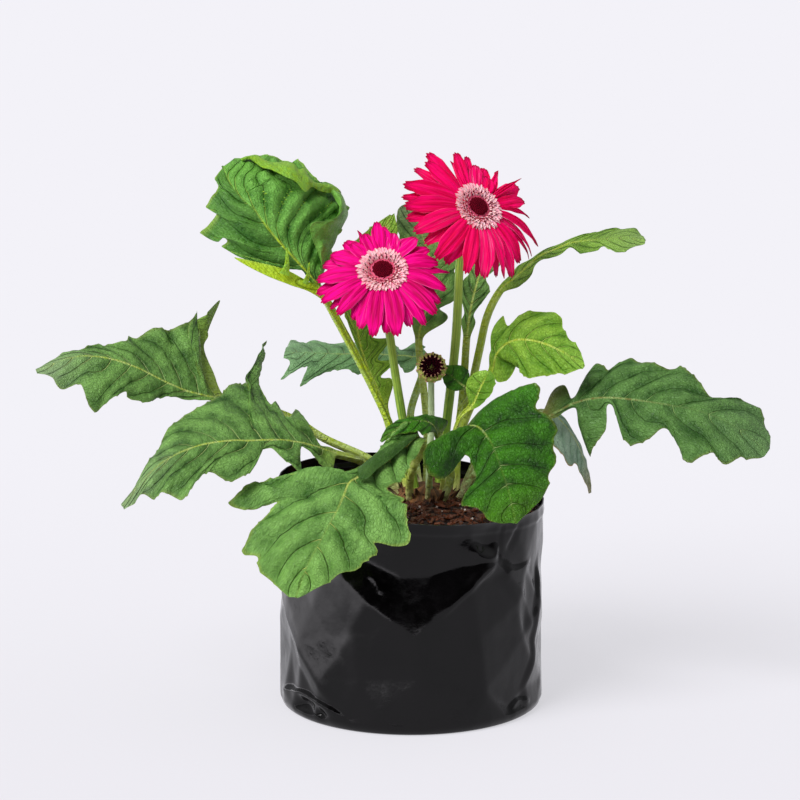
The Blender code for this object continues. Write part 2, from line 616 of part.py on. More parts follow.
def seat_point(ring, degrees):
    """Where a stalk's foot stands in the crown."""
    radius = INNER_RING if ring == "inner" else OUTER_RING
    angle = math.radians(degrees)
    x = CROWN_CENTRE[0] + radius * math.cos(angle)
    y = CROWN_CENTRE[1] + radius * math.sin(angle)
    return Vector((x, y, SEAT_HEIGHT))


def stalk_midline(spec):
    """The line of a leaf or flower stalk from its seat. A flower stalk meets its head straight on."""
    points = [seat_point(*spec["seat"]), *spec["line"]]
    if "head" in spec:
        faces = Vector(spec["head"]["faces"]).normalized()
        top = Vector(spec["head"]["centre"]) - faces * (spec["drop"] + GAP)
        points += [top - faces * SCAPE_NECK, top]
    return Midline(points)


class Leaf:
    """The shape of one leaf: where any point of its upper face lies."""

    def __init__(self, spec):
        self.spec = spec
        self.midline = stalk_midline(spec)
        self.start = self.midline.length * spec["blade"]
        self.slim = spec.get("slim", 1.0)
        self.blade_length = self.midline.length - self.start
        turn = math.radians(spec["seat"][1])
        outward = Vector((math.cos(turn), math.sin(turn), 0.0))
        self.faces = [-outward + Vector((0, 0, 0.15)), Vector(spec["face"][0]), Vector(spec["face"][1])]

    def along_blade(self, distance):
        return 100.0 * (distance - self.start) / self.blade_length

    def frame(self, distance):
        """(point, direction, up from the face, across to the right) at a distance along the midline."""
        point, direction = self.midline.at(distance)
        if distance < self.start:
            share = max(0.0, distance / self.start)
            facing = self.faces[0].lerp(self.faces[1], share * share * (3 - 2 * share))
        else:
            share = min(1.0, self.along_blade(distance) / 100.0)
            facing = self.faces[1].lerp(self.faces[2], share)
        up = (facing - direction * facing.dot(direction)).normalized()
        return point, direction, up, direction.cross(up)

    def edge(self, distance, side):
        """How far out and how far ahead the margin lies from the midline at a distance."""
        if distance < self.start:
            return STALK_HALF_WIDTH * self.slim, 0.0
        percent = self.along_blade(distance)
        column = 3 if side > 0 else 1
        out = between(self.spec["margin"], percent, column)
        return max(out, 1.2), between(self.spec["margin"], percent, column + 1)

    def rib_half_width(self, distance):
        share = min(1.0, max(0.0, self.along_blade(distance) / 100.0))
        return self.slim * RIB_HALF_WIDTH * (1.0 - 0.6 * share)

    def thickness(self, distance):
        """Depth of the stalk or midrib below the upper face, in the middle."""
        share = min(1.0, max(0.0, self.along_blade(distance) / 100.0))
        return BLADE_THICKNESS + (self.slim * STALK_THICKNESS - BLADE_THICKNESS) * (1.0 - share) ** 1.6

    def surface(self, distance, side, share):
        """The point of the upper face a share of the way from the midline to the margin on a side."""
        width, ahead = self.edge(distance, side)
        percent = self.along_blade(distance)
        out = width * share
        if percent < 0:
            point, _, _, across = self.frame(distance)
            return point + across * (side * out)
        bow = between(self.spec["bow"], percent, 2 if side > 0 else 1) if "bow" in self.spec else 0.0
        place = distance + ahead * share**1.5 + bow * 4 * share * (1 - share)
        point, direction, up, across = self.frame(max(place, self.start))
        point += direction * min(0.0, place - self.start)
        lift = between(self.spec["lift"], percent, 2 if side > 0 else 1)
        angle = math.radians(lift - 0.5 * self.spec["bend"] * share)
        wave = self.spec["wave"] * share**2 * math.sin(0.42 * percent + side) * min(1.0, width / 15.0)
        return point + across * (side * out * math.cos(angle)) + up * (out * math.sin(angle) + wave)


def leaf_stations(leaf):
    """Distances along the midline: foot, a few up the stalk, then one for each row of the margin."""
    step = (leaf.start - FOOT_LENGTH) / (STALK_STATIONS - 1)
    stalk = [FOOT_LENGTH + step * i for i in range(STALK_STATIONS - 1)]
    blade = [leaf.start + leaf.blade_length * row[0] / 100.0 for row in leaf.spec["margin"]]
    return [0.0, *stalk, *blade]


def build_leaf(name, spec, collection, material):
    """One leaf, stalk and blade in one: a grid on its upper face, thickened down to the rib below."""
    leaf = Leaf(spec)
    stations = leaf_stations(leaf)
    widest = max(max(row[1], row[3]) for row in spec["margin"])
    columns = 6 if widest > WIDE_LEAF else 4
    bm = bmesh.new()
    bmesh.ops.create_grid(bm, x_segments=columns, y_segments=len(stations) - 1, size=1.0)
    weights = []
    for vert in bm.verts:
        column = round((vert.co.x + 1.0) * columns / 2) - columns // 2
        distance = stations[round((vert.co.y + 1.0) * (len(stations) - 1) / 2)]
        side = 1 if column >= 0 else -1
        width = leaf.edge(distance, side)[0]
        rib = min(leaf.rib_half_width(distance) / width, 0.6)
        share = (0.0, rib, 0.5 + 0.5 * rib)[abs(column)] if abs(column) < columns // 2 else 1.0
        if distance < leaf.start:
            fullness = (1.0, 0.86, 0.62)[abs(column)] if share < 1.0 else 0.0
        else:
            fullness = (1.0, 0.1, 0.0, 0.0)[abs(column)]
        depth = BLADE_THICKNESS + (leaf.thickness(distance) - BLADE_THICKNESS) * fullness
        weights.append(depth / STALK_THICKNESS)
        vert.co = leaf.surface(distance, side, share) * MM
    bmesh.ops.triangulate(bm, faces=bm.faces[:], quad_method="SHORT_EDGE")
    thing = object_from(bm, name, collection, material)
    group = thing.vertex_groups.new(name="depth")
    for index, weight in enumerate(weights):
        group.add([index], weight, "REPLACE")
    solidify = thing.modifiers.new("thickness", "SOLIDIFY")
    solidify.thickness = STALK_THICKNESS * MM
    solidify.offset = -1.0
    solidify.vertex_group = group.name
    return thing


def tube(name, points, radii, collection, material=None, sides=8):
    """A tapered round tube along points close together, as a mesh with closed ends."""
    curve = bpy.data.curves.new(name, "CURVE")
    curve.dimensions = "3D"
    curve.bevel_depth = MM
    curve.bevel_resolution = sides // 2 - 2
    curve.use_fill_caps = True
    spline = curve.splines.new("POLY")
    spline.points.add(len(points) - 1)
    for control, point, radius in zip(spline.points, points, radii):
        control.co = (*(Vector(point) * MM), 1.0)
        control.radius = radius
    guide = bpy.data.objects.new(name + "_guide", curve)
    collection.objects.link(guide)
    bpy.context.view_layer.update()
    graph = bpy.context.evaluated_depsgraph_get()
    mesh = bpy.data.meshes.new_from_object(guide.evaluated_get(graph))
    bpy.data.objects.remove(guide, do_unlink=True)
    bm = bmesh.new()
    bm.from_mesh(mesh)
    bmesh.ops.remove_doubles(bm, verts=bm.verts[:], dist=0.00001)
    bmesh.ops.recalc_face_normals(bm, faces=bm.faces[:])
    bpy.data.meshes.remove(mesh)
    return object_from(bm, name, collection, material)


def spun(profile, steps):
    """A bmesh turned about Z from (radius, height) pairs, closed where they meet the axis."""
    bm = bmesh.new()
    verts = [bm.verts.new((radius, 0.0, height)) for radius, height in profile]
    edges = [bm.edges.new(pair) for pair in zip(verts, verts[1:])]
    bmesh.ops.spin(
        bm,
        geom=[*verts, *edges],
        axis=(0, 0, 1),
        cent=(0, 0, 0),
        steps=steps,
        angle=math.tau,
        use_merge=True,
    )
    bmesh.ops.remove_doubles(bm, verts=bm.verts[:], dist=0.001)
    bmesh.ops.recalc_face_normals(bm, faces=bm.faces[:])
    return bm


def bag_rim(degrees):
    return BAG_RIM_HEIGHT + BAG_RIM_TILT * math.cos(math.radians(degrees - BAG_RIM_HIGH_SIDE))


def unrolled(degrees):
    """Degrees counted on from the seam at the back."""
    return (degrees - BAG_SEAM) % 360.0 + BAG_SEAM


def back_corners():
    """Corners of the facets round the back, steadily varied, and those on the two sides of the seam."""
    corners = []
    for row, height in enumerate(BACK_ROWS):
        corners += [(BAG_SEAM, height, 1.0), (BAG_SEAM + 360.0, height, 1.0)]
        for step, turn in enumerate(BACK_PLACES, start=1):
            degrees = BAG_SEAM + turn + 5.0 * vary(step, row)
            depth = BACK_DEPTH * ((step + row) % 2) + 0.6 * vary(step, row + 5)
            corners.append((degrees, height + 8.0 * vary(step, row + 9), max(0.0, depth)))
    return corners


def film_sheet():
    """The bag's wall unrolled: its corners as (degrees, height, depth), and the triangles between them."""
    ring = [BAG_SEAM + 360.0 * i / BAG_SIDES for i in range(BAG_SIDES + 1)]
    corners = [(degrees, BAG_CORNER, 0.0) for degrees in ring]
    corners += [(degrees, SOIL_EDGE_HEIGHT, between(FILM_NECK, degrees)) for degrees in ring]
    corners += [(degrees, bag_rim(degrees), 0.5 * between(FILM_NECK, degrees)) for degrees in ring]
    corners += [(unrolled(degrees), height, depth) for degrees, height, depth in FILM_CORNERS]
    corners += back_corners()
    arc = math.radians(1.0) * BAG_RADIUS
    flat = [Vector((degrees * arc, height)) for degrees, height, _ in corners]
    count = len(ring)
    edges = [(row * count + i, row * count + i + 1) for row in range(3) for i in range(count - 1)]
    _, _, faces, found, _, _ = geometry.delaunay_2d_cdt(flat, edges, [], 0, 0.001)
    faces = [[found[i][0] for i in face] for face in faces]
    rim = range(2 * count, 3 * count)
    return corners, [face for face in faces if not all(i in rim for i in face)]


def sheet_mesh(inset, top):
    """The wall up to a height, moved inwards by inset, its seam closed and its foot turned in."""
    corners, faces = film_sheet()
    bm = bmesh.new()
    verts = []
    for degrees, height, depth in corners:
        angle = math.radians(degrees)
        radius = BAG_RADIUS - inset - depth
        verts.append(bm.verts.new((radius * math.cos(angle), radius * math.sin(angle), height)))
    for face in faces:
        if max(corners[i][1] for i in face) < top + 0.1:
            bm.faces.new([verts[i] for i in face])
    bmesh.ops.delete(bm, geom=[vert for vert in bm.verts if not vert.link_faces], context="VERTS")
    bmesh.ops.remove_doubles(bm, verts=bm.verts[:], dist=0.01)
    turn_in(bm, False, BAG_RADIUS - 0.3 * BAG_CORNER - inset, lambda x, y: 0.3 * BAG_CORNER + inset)
    turn_in(bm, False, BAG_RADIUS - BAG_CORNER - inset, lambda x, y: inset)
    turn_in(bm, False, 0.5 * BAG_RADIUS, lambda x, y: inset)
    close_at_middle(bm, False, inset)
    return bm


def open_edges(bm, upper):
    """The edges of the upper or the lower rim of a sheet."""
    middle = 0.5 * SOIL_EDGE_HEIGHT
    return [edge for edge in bm.edges if edge.is_boundary and (edge.verts[0].co.z > middle) == upper]


def turn_in(bm, upper, radius, height):
    """Runs a rim on inwards to a radius, at heights told by a function."""
    made = bmesh.ops.extrude_edge_only(bm, edges=open_edges(bm, upper))
    for vert in made["geom"]:
        if isinstance(vert, bmesh.types.BMVert):
            angle = math.atan2(vert.co.y, vert.co.x)
            x, y = radius * math.cos(angle), radius * math.sin(angle)
            vert.co = Vector((x, y, height(x, y)))


def close_at_middle(bm, upper, height):
    """Closes a rim with a fan of triangles about the axis."""
    made = bmesh.ops.extrude_edge_only(bm, edges=open_edges(bm, upper))
    rim = [vert for vert in made["geom"] if isinstance(vert, bmesh.types.BMVert)]
    bmesh.ops.pointmerge(bm, verts=rim, merge_co=Vector((0.0, 0.0, height)))


def build_bag(collection, material):
    """The film as an open surface on its outer side, thickened inwards."""
    bm = sheet_mesh(0.0, 2 * BAG_RIM_HEIGHT)
    bmesh.ops.triangulate(bm, faces=bm.faces[:])
    bmesh.ops.recalc_face_normals(bm, faces=bm.faces[:])
    bmesh.ops.scale(bm, vec=(MM, MM, MM), verts=bm.verts[:])
    bag = object_from(bm, "grow_bag", collection, material)
    solidify = bag.modifiers.new("film", "SOLIDIFY")
    solidify.thickness = BAG_WALL * MM
    solidify.offset = -1.0 if faces_outward(bag) else 1.0
    return bag


def faces_outward(thing):
    """Whether an open surface's faces look away from the middle of the object."""
    middle = sum((v.co for v in thing.data.vertices), Vector()) / len(thing.data.vertices)
    return sum((face.center - middle).dot(face.normal) * face.area for face in thing.data.polygons) > 0


def soil_height(x, y):
    """Top of the potting mix: a low mound at the crown with small bumps."""
    edge = min(1.0, math.hypot(x, y) / BAG_RADIUS)
    mound = SOIL_MOUND * (1.0 - edge**2)
    bumps = SOIL_BUMP * noise.noise(Vector((x * 0.11, y * 0.11, 4.0))) * min(1.0, 5.0 * (1.0 - edge))
    return SOIL_EDGE_HEIGHT + mound + bumps


def build_soil(collection, material):
    """The potting mix fills the bag, a film's thickness and a gap inside it, with a hole for the crown."""
    inset = BAG_WALL + 2 * GAP
    bm = sheet_mesh(inset, SOIL_EDGE_HEIGHT)
    for ring in range(SOIL_RINGS - 1, 0, -1):
        turn_in(bm, True, BAG_RADIUS * ring / SOIL_RINGS, soil_height)
    close_at_middle(bm, True, soil_height(0.0, 0.0))
    bmesh.ops.triangulate(bm, faces=bm.faces[:])
    bmesh.ops.recalc_face_normals(bm, faces=bm.faces[:])
    bmesh.ops.scale(bm, vec=(MM, MM, MM), verts=bm.verts[:])
    soil = object_from(bm, "potting_mix", collection, material)
    cutters = new_collection("hole")
    hole = spun(hole_profile(), CROWN_SIDES)
    moved_to_crown(hole)
    object_from(hole, "crown_hole", cutters)
    cut_all(soil, cutters)
    remove_collection(cutters)
    return soil


def crown_profile():
    """(radius, height) of the crown's dome and of the plug below it."""
    return [
        (0.0, CROWN_PLUG_BOTTOM),
        (CROWN_PLUG_RADIUS, CROWN_PLUG_BOTTOM),
        (CROWN_PLUG_RADIUS, CROWN_SHOULDER - 5.0),
        (CROWN_RADIUS, CROWN_SHOULDER),
        (0.72 * CROWN_RADIUS, CROWN_SHOULDER + 0.62 * (CROWN_TOP - CROWN_SHOULDER)),
        (0.38 * CROWN_RADIUS, CROWN_TOP - 0.8),
        (0.0, CROWN_TOP),
    ]


def hole_profile():
    """(radius, height) of the hole that the crown fills in the potting mix, open above."""
    return [
        (0.0, CROWN_PLUG_BOTTOM - GAP),
        (CROWN_PLUG_RADIUS + GAP, CROWN_PLUG_BOTTOM - GAP),
        (CROWN_PLUG_RADIUS + GAP, CROWN_SHOULDER - 5.0),
        (CROWN_RADIUS + 2 * GAP, CROWN_SHOULDER),
        (CROWN_RADIUS + 2 * GAP, CROWN_TOP),
        (0.0, CROWN_TOP),
    ]


def moved_to_crown(bm):
    centre = Vector((*CROWN_CENTRE, 0.0))
    for vert in bm.verts:
        vert.co = (vert.co + centre) * MM


def build_stub(index, degrees, collection):
    """An old leaf's dry foot, leaning out from the crown."""
    centre = Vector((*CROWN_CENTRE, 0.0))
    angle = math.radians(degrees)
    outward = Vector((math.cos(angle), math.sin(angle), 0.0))
    foot = centre + outward * (CROWN_RADIUS - 5.5) + Vector((0, 0, CROWN_SHOULDER - 1.0))
    tip = foot + outward * (6.0 + 2.0 * vary(index, 9)) + Vector((0, 0, 10.0 + 3.0 * vary(index, 10)))
    radii = [STUB_RADIUS, 0.85 * STUB_RADIUS, 0.3 * STUB_RADIUS]
    tube(f"stub_{index}", [foot, foot.lerp(tip, 0.6), tip], radii, collection, sides=6)


def build_socket(name, spec, collection):
    """A cutter along the foot of a stalk, with room all round it."""
    if "blade" in spec:
        leaf = Leaf(spec)
        half_width = STALK_HALF_WIDTH * leaf.slim
        path = []
        for distance in (-SOCKET_DEPTH, *leaf_stations(leaf)[1:3]):
            point, _, up, _ = leaf.frame(distance)
            path.append(point - up * (0.5 * STALK_THICKNESS * leaf.slim))
    else:
        half_width = spec["radius"][0]
        midline = stalk_midline(spec)
        path = [midline.at(distance)[0] for distance in (-SOCKET_DEPTH, *scape_stations(midline)[1:3])]
    tube(f"socket_{name}", path, [half_width + SOCKET_ROOM] * len(path), collection, sides=6)


def build_crown(collection, material, stalks):
    """The crown with its old stubs, and a socket for each stalk that stands in it."""
    bm = spun(crown_profile(), CROWN_SIDES)
    moved_to_crown(bm)
    crown = object_from(bm, "crown", collection, material)
    stubs = new_collection("stubs")
    for index, degrees in enumerate(STUB_PLACES):
        build_stub(index, degrees, stubs)
    join_all(crown, stubs)
    sockets = new_collection("sockets")
    for name, spec in stalks.items():
        build_socket(name, spec, sockets)
    cut_all(crown, sockets)
    remove_collection(sockets)
    return crown


def scape_stations(midline):
    """Distances along a flower stalk, close together where it bends to its head."""
    bend = [midline.length - SCAPE_NECK * i for i in (3, 2, 1, 0)]
    return [bend[0] * i / SCAPE_STATIONS for i in range(SCAPE_STATIONS)] + bend


def build_scape(name, spec, collection, material):
    """A bare flower stalk, a little thinner at its top."""
    midline = stalk_midline(spec)
    foot, top = spec["radius"]
    stations = scape_stations(midline)
    points = [midline.at(distance)[0] for distance in stations]
    radii = [foot + (top - foot) * distance / midline.length for distance in stations]
    return tube(name, points, radii, collection, material)


def facing_matrix(centre, faces):
    """Local +Z looks along faces, local +Y is as upright as it can be, and local lengths are millimetres."""
    rotation = Vector(faces).to_track_quat("Z", "Y").to_matrix().to_4x4()
    return Matrix.Translation(Vector(centre) * MM) @ rotation @ Matrix.Scale(MM, 4)


def place(thing, matrix):
    """Bakes a matrix into the mesh, so that the object itself stays at the origin."""
    thing.data.transform(matrix)
    thing.data.update()


def petal_point(petal, along, side):
    """A point of a petal in the bloom's frame: along is 0 at the root to 1 at the tip, side is -1 to 1."""
    turn, length, half_width, rise, droop, swing, layer = petal
    slope = math.radians(rise - droop * along / 2)
    out = PETAL_ROOT + length * along * math.cos(slope)
    up = PETAL_LAYERS[layer] + length * along * math.sin(slope)
    half_width *= 0.5 + 0.5 * math.sin(0.5 * math.pi * min(1.0, 1.7 * along))
    half_width *= 1.0 if along < 0.9 else 0.45
    angle = math.radians(turn)
    radial = Vector((math.cos(angle), math.sin(angle), 0.0))
    sideways = Vector((-math.sin(angle), math.cos(angle), 0.0))
    return radial * out + sideways * (side * half_width + swing * along**2) + Vector((0, 0, up))


def build_petals(bloom, matrix, collection, material, name):
    """The ray florets: strap petals in two layers, rooted in one thin hub."""
    petals = new_collection("petals")
    for index, petal in enumerate(bloom["petals"]):
        bm = bmesh.new()
        bmesh.ops.create_grid(bm, x_segments=1, y_segments=PETAL_STATIONS, size=1.0)
        for vert in bm.verts:
            vert.co = petal_point(petal, (vert.co.y + 1.0) / 2, vert.co.x)
        bmesh.ops.triangulate(bm, faces=bm.faces[:])
        strap = object_from(bm, f"petal_{index}", petals)
        solidify = strap.modifiers.new("thickness", "SOLIDIFY")
        solidify.thickness = PETAL_THICKNESS
        solidify.offset = 0.0
    profile = [
        (0.0, -HUB_HALF_THICKNESS),
        (HUB_RADIUS, -HUB_HALF_THICKNESS),
        (HUB_RADIUS, HUB_HALF_THICKNESS),
        (0.0, HUB_HALF_THICKNESS),
    ]
    hub = object_from(spun(profile, HUB_SIDES), name, collection, material)
    join_all(hub, petals)
    place(hub, matrix)
    return hub


def build_fringe(matrix, collection, material, name):
    """The ring of small pale florets between the petals and the eye."""
    base = HUB_HALF_THICKNESS + GAP
    profile = [
        (FRINGE_INNER, base),
        (FRINGE_OUTER, base),
        (FRINGE_OUTER - 1.0, base + 0.7 * FRINGE_HEIGHT),
        (FRINGE_INNER + 2.0, base + FRINGE_HEIGHT),
        (FRINGE_INNER, base + 0.8 * FRINGE_HEIGHT),
    ]
    ring = object_from(spun([*profile, profile[0]], FRINGE_SIDES), name, collection, material)
    florets = new_collection("florets")
    for row, (count, radius, rise, length) in enumerate(FRINGE_ROWS):
        root = Matrix.Translation((radius, 0.0, base + 0.5 * FRINGE_HEIGHT))
        for i in range(count):
            turn = Matrix.Rotation(math.tau * (i + 0.5 * (row % 2)) / count, 4, "Z")
            lean = Matrix.Rotation(math.radians(90.0 - rise + 8.0 * vary(i, 20 + row)), 4, "Y")
            reach = length * (1.0 + 0.15 * vary(i, 30 + row))
            sunk = Matrix.Translation((0.0, 0.0, 0.32 * reach))
            bm = bmesh.new()
            bmesh.ops.create_cone(bm, cap_ends=True, segments=3, radius1=0.95, radius2=0.4, depth=reach)
            bmesh.ops.transform(bm, matrix=turn @ root @ lean @ sunk, verts=bm.verts[:])
            object_from(bm, f"floret_{row}_{i}", florets)
    join_all(ring, florets)
    place(ring, matrix)
    return ring


def build_eye(matrix, collection, material, name):
    """The dark eye of closed disc florets: a low dome raised in small bumps."""
    base = HUB_HALF_THICKNESS + GAP
    edge = base + EYE_EDGE
    profile = [(0.0, base), (EYE_RADIUS, base)]
    for i in range(EYE_RINGS):
        slope = 0.5 * math.pi * i / EYE_RINGS
        profile.append((EYE_RADIUS * math.cos(slope), edge + EYE_HEIGHT * math.sin(slope)))
    profile.append((0.0, edge + EYE_HEIGHT))
    bm = spun(profile, EYE_SIDES)
    for vert in bm.verts:
        if vert.co.z > edge + 0.1:
            spoke = round(math.atan2(vert.co.y, vert.co.x) * EYE_SIDES / math.tau)
            level = round(4.0 * vert.co.z)
            vert.co.z += EYE_BUMP * (-1) ** (spoke + level)
    eye = object_from(bm, name, collection, material)
    place(eye, matrix)
    return eye


def bract(name, foot, tip, width, collection):
    """A pointed green scale from foot to tip, flattened across."""
    run = tip - foot
    bm = bmesh.new()
    bmesh.ops.create_cone(bm, cap_ends=True, segments=3, radius1=width, radius2=0.35, depth=run.length)
    outward = Vector((foot.x, foot.y, 0.0)).normalized()
    z = run.normalized()
    y = z.cross(outward).normalized()
    x = y.cross(z)
    rotation = Matrix((x, y, z)).transposed().to_4x4()
    flatten = Matrix.Diagonal((0.55, 1.0, 1.0, 1.0))
    middle = Matrix.Translation(foot.lerp(tip, 0.5))
    bmesh.ops.transform(bm, matrix=middle @ rotation @ flatten, verts=bm.verts[:])
    return object_from(bm, name, collection)


def build_calyx(matrix, collection, material, name):
    """The green cup below the petals, with two rows of bracts lying on it."""
    top = -HUB_HALF_THICKNESS - GAP
    profile = [
        (0.0, top),
        (CALYX_RADIUS, top),
        (CALYX_RADIUS - 0.5, top - 1.6),
        (0.72 * CALYX_RADIUS, top - 0.62 * CALYX_DEPTH),
        (CALYX_NECK, top - CALYX_DEPTH),
        (0.0, top - CALYX_DEPTH),
    ]
    cup = object_from(spun(profile, 18), name, collection, material)
    bracts = new_collection("bracts")
    for i in range(CALYX_BRACTS):
        angle = math.tau * i / CALYX_BRACTS
        outward = Vector((math.cos(angle), math.sin(angle), 0.0))
        low = i % 2
        foot = outward * (0.66 - 0.1 * low) * CALYX_RADIUS + Vector((0, 0, top - 0.66 * CALYX_DEPTH))
        tip = outward * (CALYX_RADIUS + 2.6 - 1.4 * low) + Vector((0, 0, top - 0.9 - 1.6 * low))
        bract(f"bract_{i}", foot, tip, 1.9, bracts)
    join_all(cup, bracts)
    place(cup, matrix)
    return cup


def build_bud_bracts(matrix, collection, material):
    """The bud's green cup of pointed bracts that close over its florets."""
    profile = [
        (0.0, -BUD_DEPTH),
        (0.3 * BUD_RADIUS, -BUD_DEPTH),
        (0.84 * BUD_RADIUS, -0.55 * BUD_RADIUS),
        (BUD_RADIUS, 0.0),
        (0.86 * BUD_RADIUS, BUD_MOUTH),
        (0.0, BUD_MOUTH),
    ]
    cup = object_from(spun(profile, 18), "bud_bracts", collection, material)
    bracts = new_collection("bracts")
    for i in range(BUD_BRACTS):
        angle = math.tau * i / BUD_BRACTS
        outward = Vector((math.cos(angle), math.sin(angle), 0.0))
        low = i % 2
        foot = outward * (0.86 + 0.06 * low) * BUD_RADIUS + Vector((0, 0, (-0.2 - 0.15 * low) * BUD_RADIUS))
        tip = outward * (0.66 + 0.12 * low) * BUD_RADIUS + Vector((0, 0, (0.74 - 0.14 * low) * BUD_RADIUS))
        bract(f"bract_{i}", foot, tip, 1.7, bracts)
    join_all(cup, bracts)
    place(cup, matrix)
    return cup


def build_bud_florets(matrix, collection, material):
    """The low dark dome of closed florets between the bud's bracts."""
    base = BUD_MOUTH + GAP
    radius = 0.52 * BUD_RADIUS
    profile = [(0.0, base), (radius, base), (0.94 * radius, base + 1.4), (0.5 * radius, base + 2.5)]
    profile.append((0.0, base + 2.2))
    florets = object_from(spun(profile, 14), "bud_florets", collection, material)
    place(florets, matrix)
    return florets


def main():
    clear_scene()
    plant = new_collection("potted_gerbera")
    film = new_material("black_film", (0.012, 0.012, 0.013), 0.22)
    mix = new_material("potting_mix", (0.055, 0.026, 0.014), 0.95)
    stock = new_material("crown_sheath", (0.34, 0.22, 0.11), 0.8)
    stem = new_material("scape_green", (0.16, 0.30, 0.05), 0.55)
    pink = new_material("petal_pink", (0.78, 0.003, 0.10), 0.45)
    pale = new_material("fringe_pink", (0.83, 0.45, 0.42), 0.6)
    eye = new_material("eye_maroon", (0.05, 0.002, 0.010), 0.7)
    calyx = new_material("calyx_green", (0.17, 0.30, 0.06), 0.6)

    build_bag(plant, film)
    build_soil(plant, mix)
    build_crown(plant, stock, {**LEAVES, **SCAPES})

    for name, spec in LEAVES.items():
        green = new_material(name + "_green", LEAF_COLOURS.get(name, LEAF_GREEN), 0.5)
        build_leaf(name, spec, plant, green)
    for name, spec in SCAPES.items():
        build_scape(name, spec, plant, stem)
    for name, bloom in BLOOMS.items():
        matrix = facing_matrix(bloom["centre"], bloom["faces"])
        build_petals(bloom, matrix, plant, pink, name + "_petals")
        build_fringe(matrix, plant, pale, name + "_fringe")
        build_eye(matrix, plant, eye, name + "_eye")
        build_calyx(matrix, plant, calyx, name + "_calyx")
    matrix = facing_matrix(BUD["centre"], BUD["faces"])
    build_bud_bracts(matrix, plant, calyx)
    build_bud_florets(matrix, plant, eye)


main()
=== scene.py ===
import math

import bmesh
import bpy
import numpy as np
from mathutils import Matrix, Vector, noise
from mathutils.bvhtree import BVHTree


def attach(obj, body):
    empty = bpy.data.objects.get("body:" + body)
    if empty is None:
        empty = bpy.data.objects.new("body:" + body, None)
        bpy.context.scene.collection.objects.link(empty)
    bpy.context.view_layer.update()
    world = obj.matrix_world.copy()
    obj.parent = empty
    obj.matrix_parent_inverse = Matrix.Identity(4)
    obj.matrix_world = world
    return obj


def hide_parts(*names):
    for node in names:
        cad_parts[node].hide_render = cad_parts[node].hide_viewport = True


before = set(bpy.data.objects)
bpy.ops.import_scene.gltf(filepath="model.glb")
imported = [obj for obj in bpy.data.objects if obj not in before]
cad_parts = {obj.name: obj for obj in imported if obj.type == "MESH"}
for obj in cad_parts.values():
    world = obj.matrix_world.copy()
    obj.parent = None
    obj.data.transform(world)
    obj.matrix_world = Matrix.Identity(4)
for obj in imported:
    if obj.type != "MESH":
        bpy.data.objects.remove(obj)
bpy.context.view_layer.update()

# Potted gerbera: two open heads and a bud over a rosette of lobed leaves, in a black film grow bag.
# Places and sizes are millimetres unless a note says otherwise, and mm turns them into metres.
# +X is to the right, -Y is the front and Z = 0 is the floor.

mm = 0.001
upright = np.array([0.0, 0.0, 1.0])
crownCentre = np.array([10.0, 10.0, 0.0])
goldenAngle = 137.508
scene = bpy.context.scene
pieces = bpy.data.collections.new("pottedGerbera")
scene.collection.children.link(pieces)


# Small tools

def fromHex(code):  # an sRGB colour such as "#f2f1f6" as linear RGBA
    parts = [int(code[i:i + 2], 16) / 255 for i in (1, 3, 5)]
    return tuple(((p + 0.055) / 1.055) ** 2.4 if p > 0.04045 else p / 12.92 for p in parts) + (1.0,)


def vary(index, salt):  # a steady number from -1 to 1 for each index and salt
    return 2.0 * ((math.sin(index * 12.9898 + salt * 78.233) * 43758.5453) % 1.0) - 1.0


def pick(index, salt, low=0.0, high=1.0, power=1):  # the same between two limits
    return low + (high - low) * (0.5 + 0.5 * vary(index, salt)) ** power


def smoothStep(low, high, value):
    t = np.clip((np.asarray(value, float) - low) / (high - low), 0.0, 1.0)
    return t * t * (3.0 - 2.0 * t)


def softNoise(x, y, seed=0):  # smooth noise from -1 to 1 over arrays of places, one bump for each unit
    x, y = np.asarray(x, float), np.asarray(y, float)
    cellX, cellY = np.floor(x), np.floor(y)
    u, v = smoothStep(0, 1, x - cellX), smoothStep(0, 1, y - cellY)

    def corner(i, j):
        value = np.sin((cellX + i) * 127.1 + (cellY + j) * 311.7 + seed * 74.7) * 43758.5453
        return 2.0 * (value - np.floor(value)) - 1.0

    low = corner(0, 0) * (1 - u) + corner(1, 0) * u
    high = corner(0, 1) * (1 - u) + corner(1, 1) * u
    return low * (1 - v) + high * v


def normalised(vectors):
    return vectors / np.maximum(np.linalg.norm(vectors, axis=-1, keepdims=True), 1e-9)


def squareTo(axis, vectors):  # what is left of directions once they stand square to an axis
    return normalised(vectors - axis * (vectors * axis).sum(-1, keepdims=True))


def pack(*parts):  # coordinates, or the two numbers of a map, as one array
    return np.stack(np.broadcast_arrays(*parts), -1)


def compass(angle):  # outwards and sideways at an angle round an upright axis
    east, north = math.cos(angle), math.sin(angle)
    return np.array([east, north, 0.0]), np.array([-north, east, 0.0])


def fullTurn(count):  # angles of a closed round, the last at the first
    return np.radians(np.linspace(0, 360, count))


def spun(radii, heights, angles):  # points round the upright axis
    return pack(radii * np.cos(angles), radii * np.sin(angles), heights)


def runOf(points):  # how far along a line each of its points lies
    return np.concatenate([[0.0], np.cumsum(np.linalg.norm(np.diff(points, axis=0), axis=1))])


def withEnds(points):  # with one more point beyond each end
    return np.vstack([2 * points[0] - points[1], points, 2 * points[-1] - points[-2]])


def glide(a, b, c, d, t):  # the smooth way from b to c for a curve that comes from a and goes on to d
    return 0.5 * (2 * b + (c - a) * t + (2 * a - 5 * b + 4 * c - d) * t**2 + (3 * b - a - 3 * c + d) * t**3)


